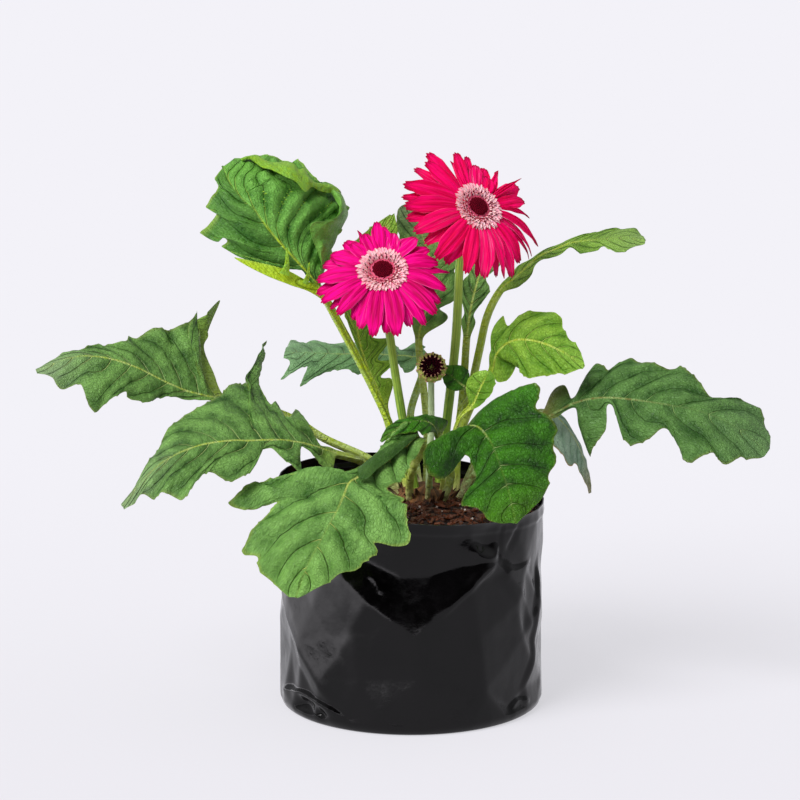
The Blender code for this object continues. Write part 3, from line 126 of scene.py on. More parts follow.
def curvePoints(points, steps=24):  # a smooth curve through points
    padded = withEnds(np.array(points, float))
    t = np.arange(steps)[:, None] / steps
    line = [glide(*four, t) for four in zip(padded, padded[1:], padded[2:], padded[3:])]
    return np.vstack([*line, padded[-2:-1]])


def pieceName(node):  # leaf_tall_left becomes leafTallLeft
    first, *others = node.split("_")
    return first + "".join(word.title() for word in others)


class Solid:
    # collects sheets and blocks into one mesh
    def __init__(self, *layers):
        self.points, self.faces, self.count = [], [], 0
        self.layers = {name: [] for name in layers}

    def take(self, points, faces, maps, source):  # source says which UV pair each corner of a face reads
        self.points.append(points)
        self.faces.extend((faces + self.count).tolist())
        self.count += len(points)
        for name, store in self.layers.items():
            store.append(maps[name][source.ravel()])

    def add(self, points, faces, **maps):  # maps give a UV pair for each point, or one for all
        faces = np.array(faces)
        spread = {name: np.broadcast_to(maps[name], (len(points), 2)) for name in self.layers}
        self.take(points, faces, spread, faces)

    def addSheet(self, top, bottom, seam=None, closed=False, **maps):
        # a slab between two grids of points; the column after seam shares its points with seam, and a closed
        # sheet's last column is its first
        rows, columns = top.shape[:2]
        index = np.arange(2 * rows * columns).reshape(2, rows, columns)
        corner = [index[:, :-1, :-1], index[:, :-1, 1:], index[:, 1:, 1:], index[:, 1:, :-1]]
        keep = [c for c in range(columns - 1) if c != seam]
        upper = np.stack([c[0][:, keep] for c in corner], -1).reshape(-1, 4)
        lower = np.stack([c[1][:, keep] for c in corner[::-1]], -1).reshape(-1, 4)
        sides = range(0 if closed else rows - 1)
        rim = [(index[:, i, 0], index[:, i + 1, 0]) for i in sides]
        rim += [(index[:, i + 1, -1], index[:, i, -1]) for i in sides]
        rim += [(index[:, 0, c + 1], index[:, 0, c]) for c in keep]
        rim += [(index[:, -1, c], index[:, -1, c + 1]) for c in keep]
        faces = np.concatenate([upper, lower, [(a[0], b[0], b[1], a[1]) for a, b in rim]])
        weld = np.arange(index.size)
        if seam is not None:
            weld[index[:, :, seam + 1]] = index[:, :, seam]
        if closed:
            weld[index[:, :, -1]] = index[:, :, 0]
        used, welded = np.unique(weld[faces], return_inverse=True)
        points = np.concatenate([top.reshape(-1, 3), bottom.reshape(-1, 3)])[used]
        spread = {}
        for name in self.layers:
            both = [maps[name], maps.get(name + "Below", maps[name])]
            both = [np.broadcast_to(side, (rows, columns, 2)).reshape(-1, 2) for side in both]
            spread[name] = np.concatenate(both)
        self.take(points, welded.reshape(faces.shape), spread, faces)

    def addPod(self, grid, strap, chance):
        # a closed round body from a grid whose first and last rows are narrow and whose columns run round it
        rows, columns = grid.shape[:2]
        index = np.arange(rows * columns).reshape(rows, columns)
        faces = np.stack([index[:-1, :-1], index[:-1, 1:], index[1:, 1:], index[1:, :-1]], -1).reshape(-1, 4)
        self.add(grid.reshape(-1, 3), faces, strap=strap.reshape(-1, 2), tint=(chance, 0.0))
        for row, turn in ((0, -1), (rows - 1, 1)):
            if np.ptp(grid[row], axis=0).max() > 0.01:
                cap = np.concatenate([[grid[row, :-1].mean(0)], grid[row, :-1][::turn]])
                fan = [(0, i, i % (len(cap) - 1) + 1) for i in range(1, len(cap))]
                self.add(cap, fan, strap=strap[row, 0], tint=(chance, 0.0))

    def addStrap(self, line, halfWidths, across, up, cup, thick, chance, columns=5):
        # a strap along a line, cupped upwards at its sides
        side = np.linspace(-1, 1, columns)
        up = squareTo(normalised(np.gradient(line, axis=0)), np.broadcast_to(up, line.shape))
        across = squareTo(up, normalised(np.broadcast_to(across, line.shape)))
        points = line[:, None] + across[:, None] * (halfWidths[:, None] * side)[..., None]
        points = points + up[:, None] * (cup * halfWidths[:, None] * side**2)[..., None]
        strap = pack(side, np.linspace(0, 1, len(line))[:, None])
        self.addSheet(points, points - up[:, None] * thick, strap=strap, tint=(chance, 0.0))

    def make(self, material, slot, node=None, name=None, sharp=60, matrix=None, welded=False):
        name = name or pieceName(node)
        mesh = bpy.data.meshes.new(name)
        mesh.from_pydata((np.concatenate(self.points) * mm).tolist(), [], self.faces)
        for layer, store in self.layers.items():
            mesh.uv_layers.new(name=layer).data.foreach_set("uv", np.concatenate(store).ravel())
        if matrix is not None:
            mesh.transform(matrix)
        if welded:
            joined = bmesh.new()
            joined.from_mesh(mesh)
            bmesh.ops.remove_doubles(joined, verts=joined.verts[:], dist=0.01 * mm)
            joined.to_mesh(mesh)
            joined.free()
        mesh.shade_smooth()
        mesh.set_sharp_from_angle(angle=math.radians(sharp))
        mesh.materials.append(material)
        piece = bpy.data.objects.new(name, mesh)
        pieces.objects.link(piece)
        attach(piece, "root")
        if node:
            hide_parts(node)
        print(f"{name}: {len(self.faces)} faces")


# Shader tools

class Shading:
    # builds the nodes of one tree, where a colour may be given as "#rrggbb"
    def __init__(self, tree):
        self.tree = tree

    def feed(self, socket, value):
        if isinstance(value, bpy.types.NodeSocket):
            self.tree.links.new(value, socket)
        else:
            socket.default_value = fromHex(value) if isinstance(value, str) else value

    def node(self, kind, inputs=None, **settings):
        node = self.tree.nodes.new("ShaderNode" + kind)
        place = len(self.tree.nodes)
        node.location = (190 * (place % 10), -240 * (place // 10))
        for key, value in settings.items():
            setattr(node, key, value)
        for key, value in (inputs or {}).items():
            self.feed(node.inputs[key], value)
        return node

    def maths(self, operation, *values):
        return self.node("Math", dict(enumerate(values)), operation=operation).outputs[0]

    def times(self, first, second):
        return self.maths("MULTIPLY", first, second)

    def mix(self, factor, first, second):
        return self.node("Mix", {0: factor, 6: first, 7: second}, data_type="RGBA").outputs[2]

    def layers(self, colour, *coats):  # each coat is how much it covers, and its colour
        for factor, coat in coats:
            colour = self.mix(factor, colour, coat)
        return colour

    def remap(self, value, low, high, toLow=0.0, toHigh=1.0, curve="SMOOTHSTEP"):
        inputs = {"Value": value, "From Min": low, "From Max": high, "To Min": toLow, "To Max": toHigh}
        return self.node("MapRange", inputs, interpolation_type=curve).outputs["Result"]

    def join(self, x, y, z=0.0):
        return self.node("CombineXYZ", {"X": x, "Y": y, "Z": z}).outputs[0]

    def split(self, vector):
        parts = self.node("SeparateXYZ", {"Vector": vector}).outputs
        return parts["X"], parts["Y"], parts["Z"]

    def plus(self, vector, shift):
        return self.node("VectorMath", {0: vector, 1: shift}, operation="ADD").outputs[0]

    def uv(self, layer):
        return self.split(self.node("UVMap", uv_map=layer).outputs["UV"])[:2]

    def noise(self, vector, scale, detail=3.0, roughness=0.55):
        inputs = {"Vector": vector, "Scale": scale, "Detail": detail, "Roughness": roughness}
        return self.node("TexNoise", inputs).outputs[0]

    def use(self, group, **values):
        return self.node("Group", values, node_tree=group).outputs


class Group(Shading):
    # a shared effect with named number sockets
    def __init__(self, name, **inputs):
        super().__init__(bpy.data.node_groups.new(name, "ShaderNodeTree"))
        for label, value in inputs.items():
            self.socket(label, "INPUT").default_value = value
        self.given = self.tree.nodes.new("NodeGroupInput").outputs

    def socket(self, label, direction):
        return self.tree.interface.new_socket(label, in_out=direction, socket_type="NodeSocketFloat")

    def give(self, **outputs):
        for label in outputs:
            self.socket(label, "OUTPUT")
        end = self.tree.nodes.new("NodeGroupOutput")
        for label, value in outputs.items():
            self.feed(end.inputs[label], value)
        return self.tree


class Finish(Shading):
    # a material with one Principled shader
    def __init__(self, name, roughness=0.5, **constants):
        self.material = bpy.data.materials.new(name)
        self.material.use_nodes = True
        super().__init__(self.material.node_tree)
        self.shader = self.tree.nodes["Principled BSDF"].inputs
        self.shader["Roughness"].default_value = roughness
        for label, value in constants.items():
            self.shader[label.replace("_", " ")].default_value = value

    def done(self, colour, height, distance, roughness=None, strength=1.0):  # distance in millimetres
        self.feed(self.shader["Base Color"], colour)
        if roughness is not None:
            self.feed(self.shader["Roughness"], roughness)
        bump = self.node("Bump", {"Height": height, "Distance": distance * mm, "Strength": strength})
        self.feed(self.shader["Normal"], bump.outputs["Normal"])
        return self.material


# Effects that several finishes share

def makeMottle():  # soft patches in the object's own space
    group = Group("mottle", Size=12.0, Contrast=1.0, Seed=0.0)
    seed = group.given["Seed"]
    place = group.plus(group.node("TexCoord").outputs["Object"], group.join(seed, 0.0, seed))
    scale = group.maths("DIVIDE", 1 / mm, group.given["Size"])
    coarse = group.noise(place, scale, 2.0)
    fine = group.noise(place, group.times(scale, 5.0), 3.0, 0.6)
    spread = group.maths("DIVIDE", 0.22, group.given["Contrast"])
    low, high = group.maths("SUBTRACT", 0.5, spread), group.maths("ADD", 0.5, spread)
    return group.give(Mask=group.remap(coarse, low, high), Fine=group.remap(fine, 0.3, 0.7))


def makeVeinNet():  # side veins, midrib and the fine net between them, from a leaf's own maps
    group = Group("veinNet", Vein=0.9, Cell=3.4)
    times, remap = group.times, group.remap
    phase, share = group.uv("veins")
    spacing, _ = group.uv("sizes")
    along, across = group.uv("blade")
    beside = group.maths("SUBTRACT", group.maths("FRACT", group.maths("ADD", phase, 0.5)), 0.5)
    beside = group.maths("ABSOLUTE", beside)  # 0 on a side vein and 0.5 halfway to the next
    away = times(beside, spacing)
    thin = times(group.given["Vein"], remap(share, 0.0, 1.0, 1.0, 0.35, "LINEAR"))
    veins = times(remap(away, 0.0, thin, 1.0, 0.0), remap(share, 0.75, 1.0, 1.0, 0.3))
    flat = group.join(along, across)
    shifted = group.plus(flat, times(group.noise(flat, 0.22, 2.0), 3.0))
    scale = group.maths("DIVIDE", 1.0, group.given["Cell"])
    cells = group.node("TexVoronoi", {"Vector": shifted, "Scale": scale}, feature="DISTANCE_TO_EDGE")
    net = times(remap(cells.outputs["Distance"], 0.0, 0.13, 1.0, 0.0), remap(away, 0.0, 2.0))
    sunk = group.maths("MAXIMUM", veins, times(net, 0.4))
    return group.give(
        Veins=veins,
        VeinCore=remap(away, 0.0, times(thin, 0.55), 1.0, 0.0),
        Rib=remap(group.maths("ABSOLUTE", across), 0.3, 0.95, 1.0, 0.0),
        Net=net,
        # painted light: 0 in a side vein's valley, rising to 1 on the ridge between veins
        Ridge=remap(beside, 0.03, 0.4),
        Height=group.maths("SUBTRACT", 1.0, sunk),
    )


def makeStreaks():  # lines that run along a petal, stalk or scale, from its own maps
    group = Group("streaks", Lines=5.0, Length=1.5)
    across, along = group.uv("strap")
    chance, _ = group.uv("tint")
    wide, far = group.times(across, group.given["Lines"]), group.times(along, group.given["Length"])
    streak = group.noise(group.join(wide, far, group.times(chance, 23.0)), 1.0, 2.0)
    grooves = group.noise(group.join(group.times(wide, 3.0), far, chance), 1.0, 1.0)
    return group.give(Streak=group.remap(streak, 0.32, 0.68), Grooves=grooves, Across=across, Along=along)


mottle, veinNet, streaks = makeMottle(), makeVeinNet(), makeStreaks()
print("shared shader groups made")

# Leaf materials. Colours: dark and light green of the blade (painted darker in the valleys along the side
# veins and lighter on the ridges between them), the painted shade in its creases along the side veins and in
# its fine net (also painted over a whole half or a flap that is shaded), its pale veins, its underside, its
# stalk, its edge and its tip, where most finishes paint a paler sheen and greyGreen a brown tip. Then how
# strongly the edge shows (rim), how far out the veins stay pale, where the midrib fades (1 is the blade's
# base, 2 its tip), how strongly the stalk's colour runs into the base, how dark the painted crease shade is
# (lines) and how deep the bump is (grain).

plainFinish = dict(rim=0.4, pale=0.3, ribEnd=1.8, base=0.3, grain=0.65, slot="leaf_green")
leafFinishes = {
    "leafGreen": dict(
        dark="#1f480c", light="#74a24e", creaseShade="#183a06", vein="#b8cc7c", under="#7d9a3c", stalk="#a2b632",
        edge="#86934a", tip="#9aae88", pale=0.5, ribEnd=1.9, lines=0.7,
    ),
    "frontGreen": dict(
        dark="#27560e", light="#7aaa52", creaseShade="#1e4408", vein="#ccd672", under="#7f9c40", stalk="#a4b43c",
        edge="#9eae48", tip="#82b454", pale=0.12, ribEnd=1.7, lines=0.85,
    ),
    "tallGreen": dict(
        dark="#1c5c04", light="#7cbc50", creaseShade="#123c02", vein="#acca54", under="#98c018", stalk="#c0dc20",
        edge="#a8c850", tip="#68a63c", rim=0.5, pale=0.08, ribEnd=1.7, base=0.98, lines=0.4,
    ),
    "blueGreen": dict(
        dark="#224a12", light="#5c8640", creaseShade="#1a3c0e", vein="#9aba70", under="#6f8a3c", stalk="#6f6028",
        edge="#6c7430", tip="#729660", rim=0.5, pale=0.2, ribEnd=1.65, base=0.7, lines=0.4,
    ),
    "paleGreen": dict(
        dark="#3e660e", light="#80a83e", creaseShade="#34540e", vein="#a9be60", under="#7f9c48", stalk="#a0b82c",
        edge="#5c7828", tip="#8cac60", rim=0.6, lines=0.5,
    ),
    "backGreen": dict(
        dark="#264e20", light="#78a66a", creaseShade="#1e421c", vein="#a3bc80", under="#7d9a62", stalk="#94aa34",
        edge="#6f8e44", tip="#84a87c", lines=0.6,
    ),
    "greyGreen": dict(
        dark="#5f8468", light="#9cb69c", creaseShade="#4c6a50", vein="#b4c494", under="#8fa474", stalk="#98a04a",
        edge="#a88434", tip="#a07830", rim=0.9, lines=0.5,
    ),
    "darkGreen": dict(
        dark="#0c3002", light="#3c7c0e", creaseShade="#082202", vein="#a9bf78", under="#6f8f28", stalk="#9aac34",
        edge="#6c7824", tip="#568a18", rim=0.5, pale=0.1, ribEnd=1.42, base=0.2, lines=0.4, grain=0.95,
        slot="leaf_dark_green",
    ),
    "brightGreen": dict(
        dark="#4c8010", light="#94c240", creaseShade="#3e700c", vein="#c3d868", under="#a6c43c", stalk="#b0c62e",
        edge="#98b430", tip="#90be48", rim=0.5, pale=0.6, ribEnd=1.95, lines=0.7, slot="leaf_bright_green",
    ),
}


def makeLeafMaterial(name, look, seed):
    finish = Finish(name, Specular_IOR_Level=0.24)
    times, remap = finish.times, finish.remap
    patches = finish.use(mottle, Size=13.0, Contrast=1.8, Seed=seed)
    net = finish.use(veinNet, Vein=0.7, Cell=1.7)
    fine = patches["Fine"]
    under, place = finish.uv("sides")  # place is below 1 on the stalk, 1 at the blade's base and 2 at its tip
    along, _ = finish.uv("blade")
    _, share = finish.uv("veins")
    # painted shade: the blade is darker in the valleys along the side veins and lighter on the ridges between
    # them, mixed half and half with random patches
    ridgeLightAndMottle = finish.maths("MULTIPLY_ADD", net["Ridge"], 0.5, times(patches["Mask"], 0.5))
    outer = times(net["Veins"], remap(share, 0.03, 0.25, 0.1, look["lines"]))
    inner = times(net["VeinCore"], remap(share, 0.3 * look["pale"], look["pale"] + 0.1, 0.7, 0.05))
    below = finish.layers(
        look["under"], (times(net["Veins"], 0.6), look["vein"]), (times(fine, 0.6), look["light"]))
    ribs = finish.mix(fine, look["vein"], look["stalk"])
    colour = finish.layers(
        look["dark"],
        (ridgeLightAndMottle, look["light"]),
        (times(fine, 0.3), look["light"]),
        # painted shade in the fine net of grooves between the veins
        (times(net["Net"], 0.2), look["creaseShade"]),
        (remap(place, 1.0, 1.12, look["base"], 0.0), look["stalk"]),
        # painted sheen: the blade turns paler towards its tip; on greyGreen the tip colour is brown
        (remap(place, 1.6, 2.0, 0.0, 0.5), look["tip"]),
        # painted shade in the sunken creases along the side veins
        (outer, look["creaseShade"]),
        (inner, look["vein"]),
        (under, below),
        # painted shade: a shaded half and a flap with a negative under both turn towards the crease shade
        # colour
        (remap(under, -0.1, -0.5, 0.0, 0.85), look["creaseShade"]),
        (remap(share, 0.94, 1.0, 0.0, look["rim"]), look["edge"]),
        (times(net["Rib"], remap(place, look["ribEnd"] - 0.35, look["ribEnd"], 0.95, 0.1)), ribs),
        (remap(place, 0.93, 1.05, 1.0, 0.0), ribs),
        (times(remap(along, 4.0, 24.0, 0.8, 0.0), remap(fine, 0.2, 0.8, 0.5, 1.0)), "#d8c79a"),
    )
    height = finish.maths("ADD", net["Height"], times(fine, 0.8))
    return finish.done(colour, height, look["grain"], remap(fine, 0.0, 1.0, 0.32, 0.48))


# Leaves. Each has where it is seated (ring, degrees), where the blade begins as a share of the midline, how
# far a half curls down (bend), how far its edge is waved, its finish, how far the blade bulges between its
# side veins (quilt) and the gap between added side veins. "face" is the direction that the upper face looks
# at the blade's base and tip, and "line" the midline. A margin row is one side vein: percent of the blade,
# then how far out and how far ahead its end lies on the left and on the right. "lift" is (percent, left,
# right) in degrees, "bow" how far ahead the side veins are bowed halfway out, "crest" how sharp the gaps
# between bulges are, "shade" how much painted shade darkens the left and right halves, and "veinStart"
# where on the midrib the side vein starts that ends at each percent of the right margin. "flaps" is where the
# margin is turned over the face: its line along the margin, the line of its free edge, how far it stands out
# between them, and a number that is 1 where all of its colour is the underside's and below 0 paints shade
# over it.

leaves = {
    "leaf_tall_left": dict(
        seat=("inner", 172), blade=0.58, bend=30, wave=2.0, finish="tallGreen", quilt=3.4, veinGap=14,
        crest=1.0, shade=(0.3, 0.0), face=[(0.45, -0.75, 0.45), (0.1, -0.9, 0.35)],
        line=[
            (-8, 9, 158), (-21, 8, 189), (-46, 5, 237), (-55, 1, 254), (-64, -2, 265), (-74, -3, 276),
            (-84, -4, 288), (-93, -3, 300), (-101, 0, 307), (-108, 6, 316), (-112, 14, 324),
        ],
        margin=[
            (0, 4, 0, 2, -2), (3, 27, 49, 2, -1), (4.5, 10, 26, 3, -2), (6, 4, 8, 3, -2), (8, 3, 2, 3, -3),
            (11, 3, 3, 3, -6), (18, 2, 4, 7, -12), (23, 29, 35, 15, -16), (33, 24, 26, 24, -24),
            (36, 29, 38, 30, -25), (38, 34, 40, 34, -26), (50, 17, 28, 42, -37), (55, 21, 30, 54, -42),
            (66, 11, 21, 60, -42), (74, 7, 15, 64, -42), (76, 7, 15, 60, -36), (77, 7, 15, 51, -23),
            (79, 7, 15, 49, -14), (81, 6, 14, 48, 13), (86, 3, 12, 41, 16), (93, 0, 7, 28, 14),
            (100, 0, 0, 10, 7),
        ],
        lift=[(0, -18, -10), (50, -14, 8), (100, -4, -10)],
        veinStart=[(0, -60), (40, -25), (70, 3), (81, 14), (84, 22), (88, 35), (94, 63), (100, 100)],
        flaps=[
            dict(
                margin=[
                    (-102, 23, 327), (-98, 25, 328), (-92, 26, 329), (-84, 24, 325), (-72, 24, 325),
                    (-67, 22, 321), (-64, 24, 321), (-58, 26, 313), (-48, 36, 310), (-43, 39, 306),
                ],
                edge=[
                    (-101, 20, 326), (-96, 19, 327), (-89, 14, 323), (-83, 10, 322), (-74, 7, 318),
                    (-68, 8, 315), (-63, 9, 309), (-59, 16, 311), (-53, 24, 307), (-43, 35, 305),
                ],
                bulge=3.5, under=0.75,
            ),
            dict(
                margin=[
                    (-47, 35, 306), (-42, 38, 304), (-39, 36, 297), (-38, 33, 292), (-41, 28, 286),
                    (-44, 23, 281), (-46, 20, 276), (-50, 12, 270), (-53, 10, 264),
                ],
                edge=[
                    (-48, 29, 306), (-45, 27, 301), (-43, 20, 298), (-45, 14, 293), (-51, 6, 292),
                    (-59, 0, 291), (-59, -1, 284), (-56, 1, 275), (-53, 6, 265),
                ],
                bulge=6, under=0.1,
            ),
            dict(
                margin=[(-78, -10, 263), (-75, -9, 268), (-74, -7, 277)],
                edge=[(-72, -9, 261), (-72, -8, 268), (-73, -7, 278)], bulge=0.8, under=1,
            ),
            dict(
                margin=[(-65, -7, 257), (-62, -7, 262), (-61, -6, 268)],
                edge=[(-61, -6, 255), (-60, -6, 262), (-60, -6, 269)], bulge=0.6, under=1,
            ),
        ],
    ),
    "leaf_left": dict(
        seat=("outer", 164), blade=0.53, bend=16, wave=1.4, finish="leafGreen", quilt=1.6, veinGap=12,
        face=[(0.1, -0.6, 0.8), (0, -0.5, 0.87)],
        line=[
            (-9, 15, 134), (-26, 15, 147), (-52, 19, 158), (-73, 19, 171), (-100, 14, 181), (-115, 6, 185),
            (-124, -1, 188), (-135, -6, 192), (-148, -11, 199), (-158, -14, 205), (-168, -17, 210),
            (-181, -19, 214), (-195, -20, 215), (-208, -22, 212), (-221, -24, 207),
        ],
        margin=[
            (0, 2, 0, 3, -1), (2, 3, 1, 38, 1), (3, 3, 3, 71, -17), (4, 3, 3, 59, -5), (5, 3, 3, 44, 8),
            (6, 3, 3, 34, 13), (10, 4, 4, 33, 17), (11, 4, 4, 40, 19), (12.5, 4, 4, 49, 15),
            (14, 5, 5, 57, 0), (17, 6, 6, 42, 17), (24, 8, 6, 39, 14), (29, 12, 7, 36, 18),
            (36, 19, 2, 26, 16), (42, 22, 8, 27, 16), (47, 18, 5, 21, 10), (53, 30, 8, 15, 14),
            (62, 38, 7, 10, 14), (68, 20, 15, 8, 12), (76, 18, 20, 7, 10), (88, 8, 7, 4, 5),
            (100, 2, 0, 2, 0),
        ],
        lift=[(0, -10, 34), (25, -10, 14), (45, -6, 0), (100, -8, 0)],
        bow=[(0, 0, 4), (2, 0, 10), (5, 0, 11), (8, 0, 0), (100, 0, 0)],
    ),
    "leaf_low_left": dict(
        seat=("outer", 196), blade=0.32, bend=18, wave=1.2, finish="leafGreen", quilt=1.7, veinGap=13,
        face=[(0, -0.55, 0.83), (-0.35, -0.5, 0.78)],
        line=[
            (-11, 4, 133), (-28, -3, 148), (-33, -14, 153), (-47, -26, 159), (-59, -36, 165), (-70, -44, 169),
            (-79, -50, 171), (-94, -57, 172), (-105, -62, 173), (-120, -68, 172), (-134, -74, 168),
            (-145, -79, 162), (-154, -83, 154), (-160, -86, 147), (-165, -89, 140),
        ],
        margin=[
            (0, 2, 0, 4, 1), (6, 17, -2, 3, 3), (11, 4, 4, 33, -3), (16, 3, 4, 21, 2), (21, 25, 0, 24, -5),
            (24, 17, 2, 30, -11), (27, 10, 3, 40, -14), (29, 5, 4, 34, -11), (33, 8, 8, 60, -20),
            (35, 20, 10, 110, -56), (36, 24, 13, 61, -21), (41, 27, 18, 57, -9), (46, 18, 24, 44, -4),
            (52, 25, 32, 36, 4), (57, 27, 38, 31, 7), (64, 16, 32, 23, 7), (70, 14, 31, 14, 7),
            (78, 6, 20, 7, 8), (87, 5, 14, 2, 8), (100, 2, 1, 3, -1),
        ],
        lift=[(0, -20, 16), (30, -10, 8), (100, -6, -4)],
        bow=[(0, 0, 0), (32, 0, 0), (34, 0, 9), (38, 0, 0), (100, 0, 0)],
    ),
    "leaf_front_left": dict(
        seat=("outer", 232), blade=0.28, bend=16, wave=1.2, finish="frontGreen", quilt=2.6, veinGap=16,
        face=[(-0.05, -0.45, 0.88), (-0.1, -0.88, 0.45)],
        line=[
            (0, -12, 140), (6, -30, 168), (-7, -44, 163), (-19, -58, 156), (-31, -70, 153), (-36, -76, 151),
            (-39, -82, 145), (-43, -88, 137), (-49, -93, 127), (-54, -97, 118), (-60, -101, 107),
            (-66, -106, 91),
        ],
        margin=[
            (0, 1, -2, 2, 3), (11, 9, 0, 12, -18), (24, 13, -2, 9, -5), (34, 16, -7, 6, 2),
            (42, 14, -11, 11, 10), (45, 20, -16, 43, 8), (48, 27, -21, 62, 40), (51, 39, 6, 50, 36),
            (54, 46, 10, 35, 20), (58, 38, 8, 37, 24), (62, 27, 5, 40, 29), (67, 33, 2, 39, 34),
            (72, 27, 5, 30, 25), (77, 26, 3, 26, 25), (84, 19, -2, 18, 18), (91, 14, -1, 11, 11),
            (100, 6, -5, 4, 1),
        ],
        lift=[(0, 10, 40), (25, 4, 36), (36, 2, 16), (42, 0, 2), (100, 0, 0)],
        flaps=[
            dict(
                margin=[
                    (-31, -72, 154), (-31, -66, 157), (-27, -61, 160), (-18, -52, 165), (-8, -43, 169),
                    (3, -36, 172),
                ],
                edge=[
                    (-30, -77, 153), (-25, -76, 154), (-20, -67, 157), (-12, -57, 161), (-4, -48, 166),
                    (4, -38, 171),
                ],
                bulge=2.2, under=-0.42,
            ),
        ],
    ),
    "leaf_front_right": dict(
        seat=("outer", 296), blade=0.44, bend=18, wave=1.2, finish="darkGreen", quilt=1.9, veinGap=13,
        face=[(-0.1, -0.3, 0.95), (0.1, -0.98, 0.2)],
        line=[
            (23, -12, 140), (23, -16, 149), (27, -22, 164), (31, -28, 173), (36, -34, 176), (41, -41, 175),
            (47, -51, 168), (52, -61, 156), (57, -70, 141), (60, -76, 127),
        ],
        margin=[
            (0, 0, 0, 0, -3), (3, 8, 0, 21, 0), (8, 16, 3, 39, 11), (13, 29, 3, 43, 15), (18, 38, 2, 41, 24),
            (23, 42, 2, 32, 22), (29, 33, 1, 18, 4), (34, 36, 2, 15, 6), (40, 39, 2, 15, 9),
            (50, 33, -1, 16, 7), (60, 33, 2, 22, 3), (71, 26, -1, 29, 2), (79, 24, -1, 18, 4),
            (88, 18, -2, 16, 4), (95, 8, -1, 9, 2), (100, 1, 0, 2, -1),
        ],
        lift=[(0, 48, 34), (12, 42, 16), (25, 34, -4), (55, 6, -6), (100, -4, -6)],
    ),
    "leaf_right": dict(
        seat=("outer", 322), blade=0.35, bend=14, wave=1.2, finish="blueGreen", quilt=2.2, veinGap=17,
        face=[(0.1, -0.62, 0.78), (0.3, -0.6, 0.74)],
        line=[
            (48, 8, 152), (66, 12, 163), (84, 8, 174), (99, 2, 183), (114, -4, 187), (132, -10, 187),
            (152, -16, 185), (171, -21, 182), (191, -26, 174), (210, -30, 159),
        ],
        margin=[
            (0, 3, 0, 2, -1), (2, 16, 8, 2, 1), (5, 15, 12, 3, 1), (10, 4, 6, 2, 0), (15, 9, 4, 3, 1),
            (18, 28, 7, 16, -6), (21, 21, 11, 34, -10), (24, 26, 9, 20, 9), (28, 36, 9, 5, 3),
            (32, 32, 10, 5, 1), (36, 32, 11, 23, 4), (40, 31, 15, 28, 6), (46, 36, 13, 23, 9),
            (50, 30, 16, 15, 10), (57, 18, 17, 36, 21), (64, 19, 16, 23, 25), (72, 27, 14, 25, 27),
            (80, 25, 12, 14, 19), (90, 16, 8, 9, 12), (100, 5, 0, 3, 0),
        ],
        lift=[(0, 14, -36), (35, 6, -20), (55, 2, -8), (100, 0, -4)],
    ),
    "leaf_bright_right": dict(
        seat=("outer", 346), blade=0.54, bend=16, wave=1.0, finish="brightGreen", quilt=1.8, veinGap=11,
        face=[(-0.2, -0.85, 0.45), (0.15, -0.85, 0.5)],
        line=[
            (27, 14, 154), (36, 14, 179), (44, 12, 192), (49, 10, 202), (51, 8, 211), (57, 6, 218),
            (65, 3, 221), (77, -1, 220), (90, -5, 215), (103, -9, 207),
        ],
        margin=[
            (0, 2, -1, 1, 0), (10, 6, 12, 0, -6), (17, 17, 12, 6, -16), (23, 9, 8, 11, -16),
            (30, 14, 6, 15, -10), (37, 18, 5, 21, 9), (46, 22, 8, 23, 11), (54, 20, 9, 16, 18),
            (64, 14, 4, 12, 17), (75, 10, 3, 8, 14), (86, 7, 3, 4, 8), (100, 1, -1, 2, 0),
        ],
        lift=[(0, 14, -4), (40, 0, -4), (100, -4, -6)],
    ),
    "leaf_high_right": dict(
        seat=("outer", 30), blade=0.57, bend=14, wave=0.8, finish="paleGreen", quilt=0.9, veinGap=8,
        face=[(-0.5, -0.7, 0.5), (0.1, -0.35, 0.93)],
        line=[
            (27, 26, 150), (35, 32, 182), (41, 38, 208), (46, 42, 229), (54, 46, 244), (64, 48, 252),
            (73, 50, 260), (79, 50, 265), (88, 49, 269), (97, 48, 273), (109, 46, 275), (127, 42, 277),
            (142, 38, 276),
        ],
        margin=[
            (0, 2, 1, 3, 0), (9, 3, -1, 7, 1), (19, 5, 0, 8, 0), (26, 3, 0, 3, 1), (33, 2, -1, 4, 1),
            (39, 3, 1, 5, 0), (44, 3, 3, 6, 3), (51, 3, 1, 3, 2), (56, 7, 8, 10, 4), (63, 11, 10, 9, 6),
            (69, 16, 12, 5, 5), (76, 20, 11, 12, 7), (87, 14, 7, 8, 5), (100, 1, 0, 3, 0),
        ],
        lift=[(0, 14, 6), (50, 10, 4), (70, -6, -14), (100, -6, -14)],
    ),
    "leaf_back_left": dict(
        seat=("outer", 104), blade=0.49, bend=20, wave=1.0, finish="backGreen", quilt=1.0, veinGap=9,
        face=[(-0.1, -0.35, 0.93), (-0.15, -0.2, 0.97)],
        line=[
            (2, 40, 146), (0, 60, 166), (9, 78, 194), (0, 86, 196), (-13, 92, 196), (-29, 97, 196),
            (-45, 101, 195), (-62, 105, 195), (-80, 108, 195),
        ],
        margin=[
            (0, 0, -2, 0, 3), (13, 11, 0, 20, 4), (22, 6, 1, 8, 2), (33, 14, 4, 20, 3), (45, 13, 6, 17, 2),
            (60, 10, 5, 24, 2), (72, 24, 15, 23, 6), (79, 9, 4, 26, 8), (86, 21, 14, 27, 8),
            (92, 8, 3, 30, 10), (100, 5, 0, 14, 2),
        ],
        lift=[(0, -16, 6), (60, -34, 2), (100, -20, 0)],
    ),
    "leaf_behind_blooms": dict(
        seat=("inner", 100), blade=0.54, bend=16, wave=1.4, finish="leafGreen", quilt=1.1, veinGap=9,
        face=[(0, -0.95, 0.3), (0.05, -0.85, 0.5)],
        line=[
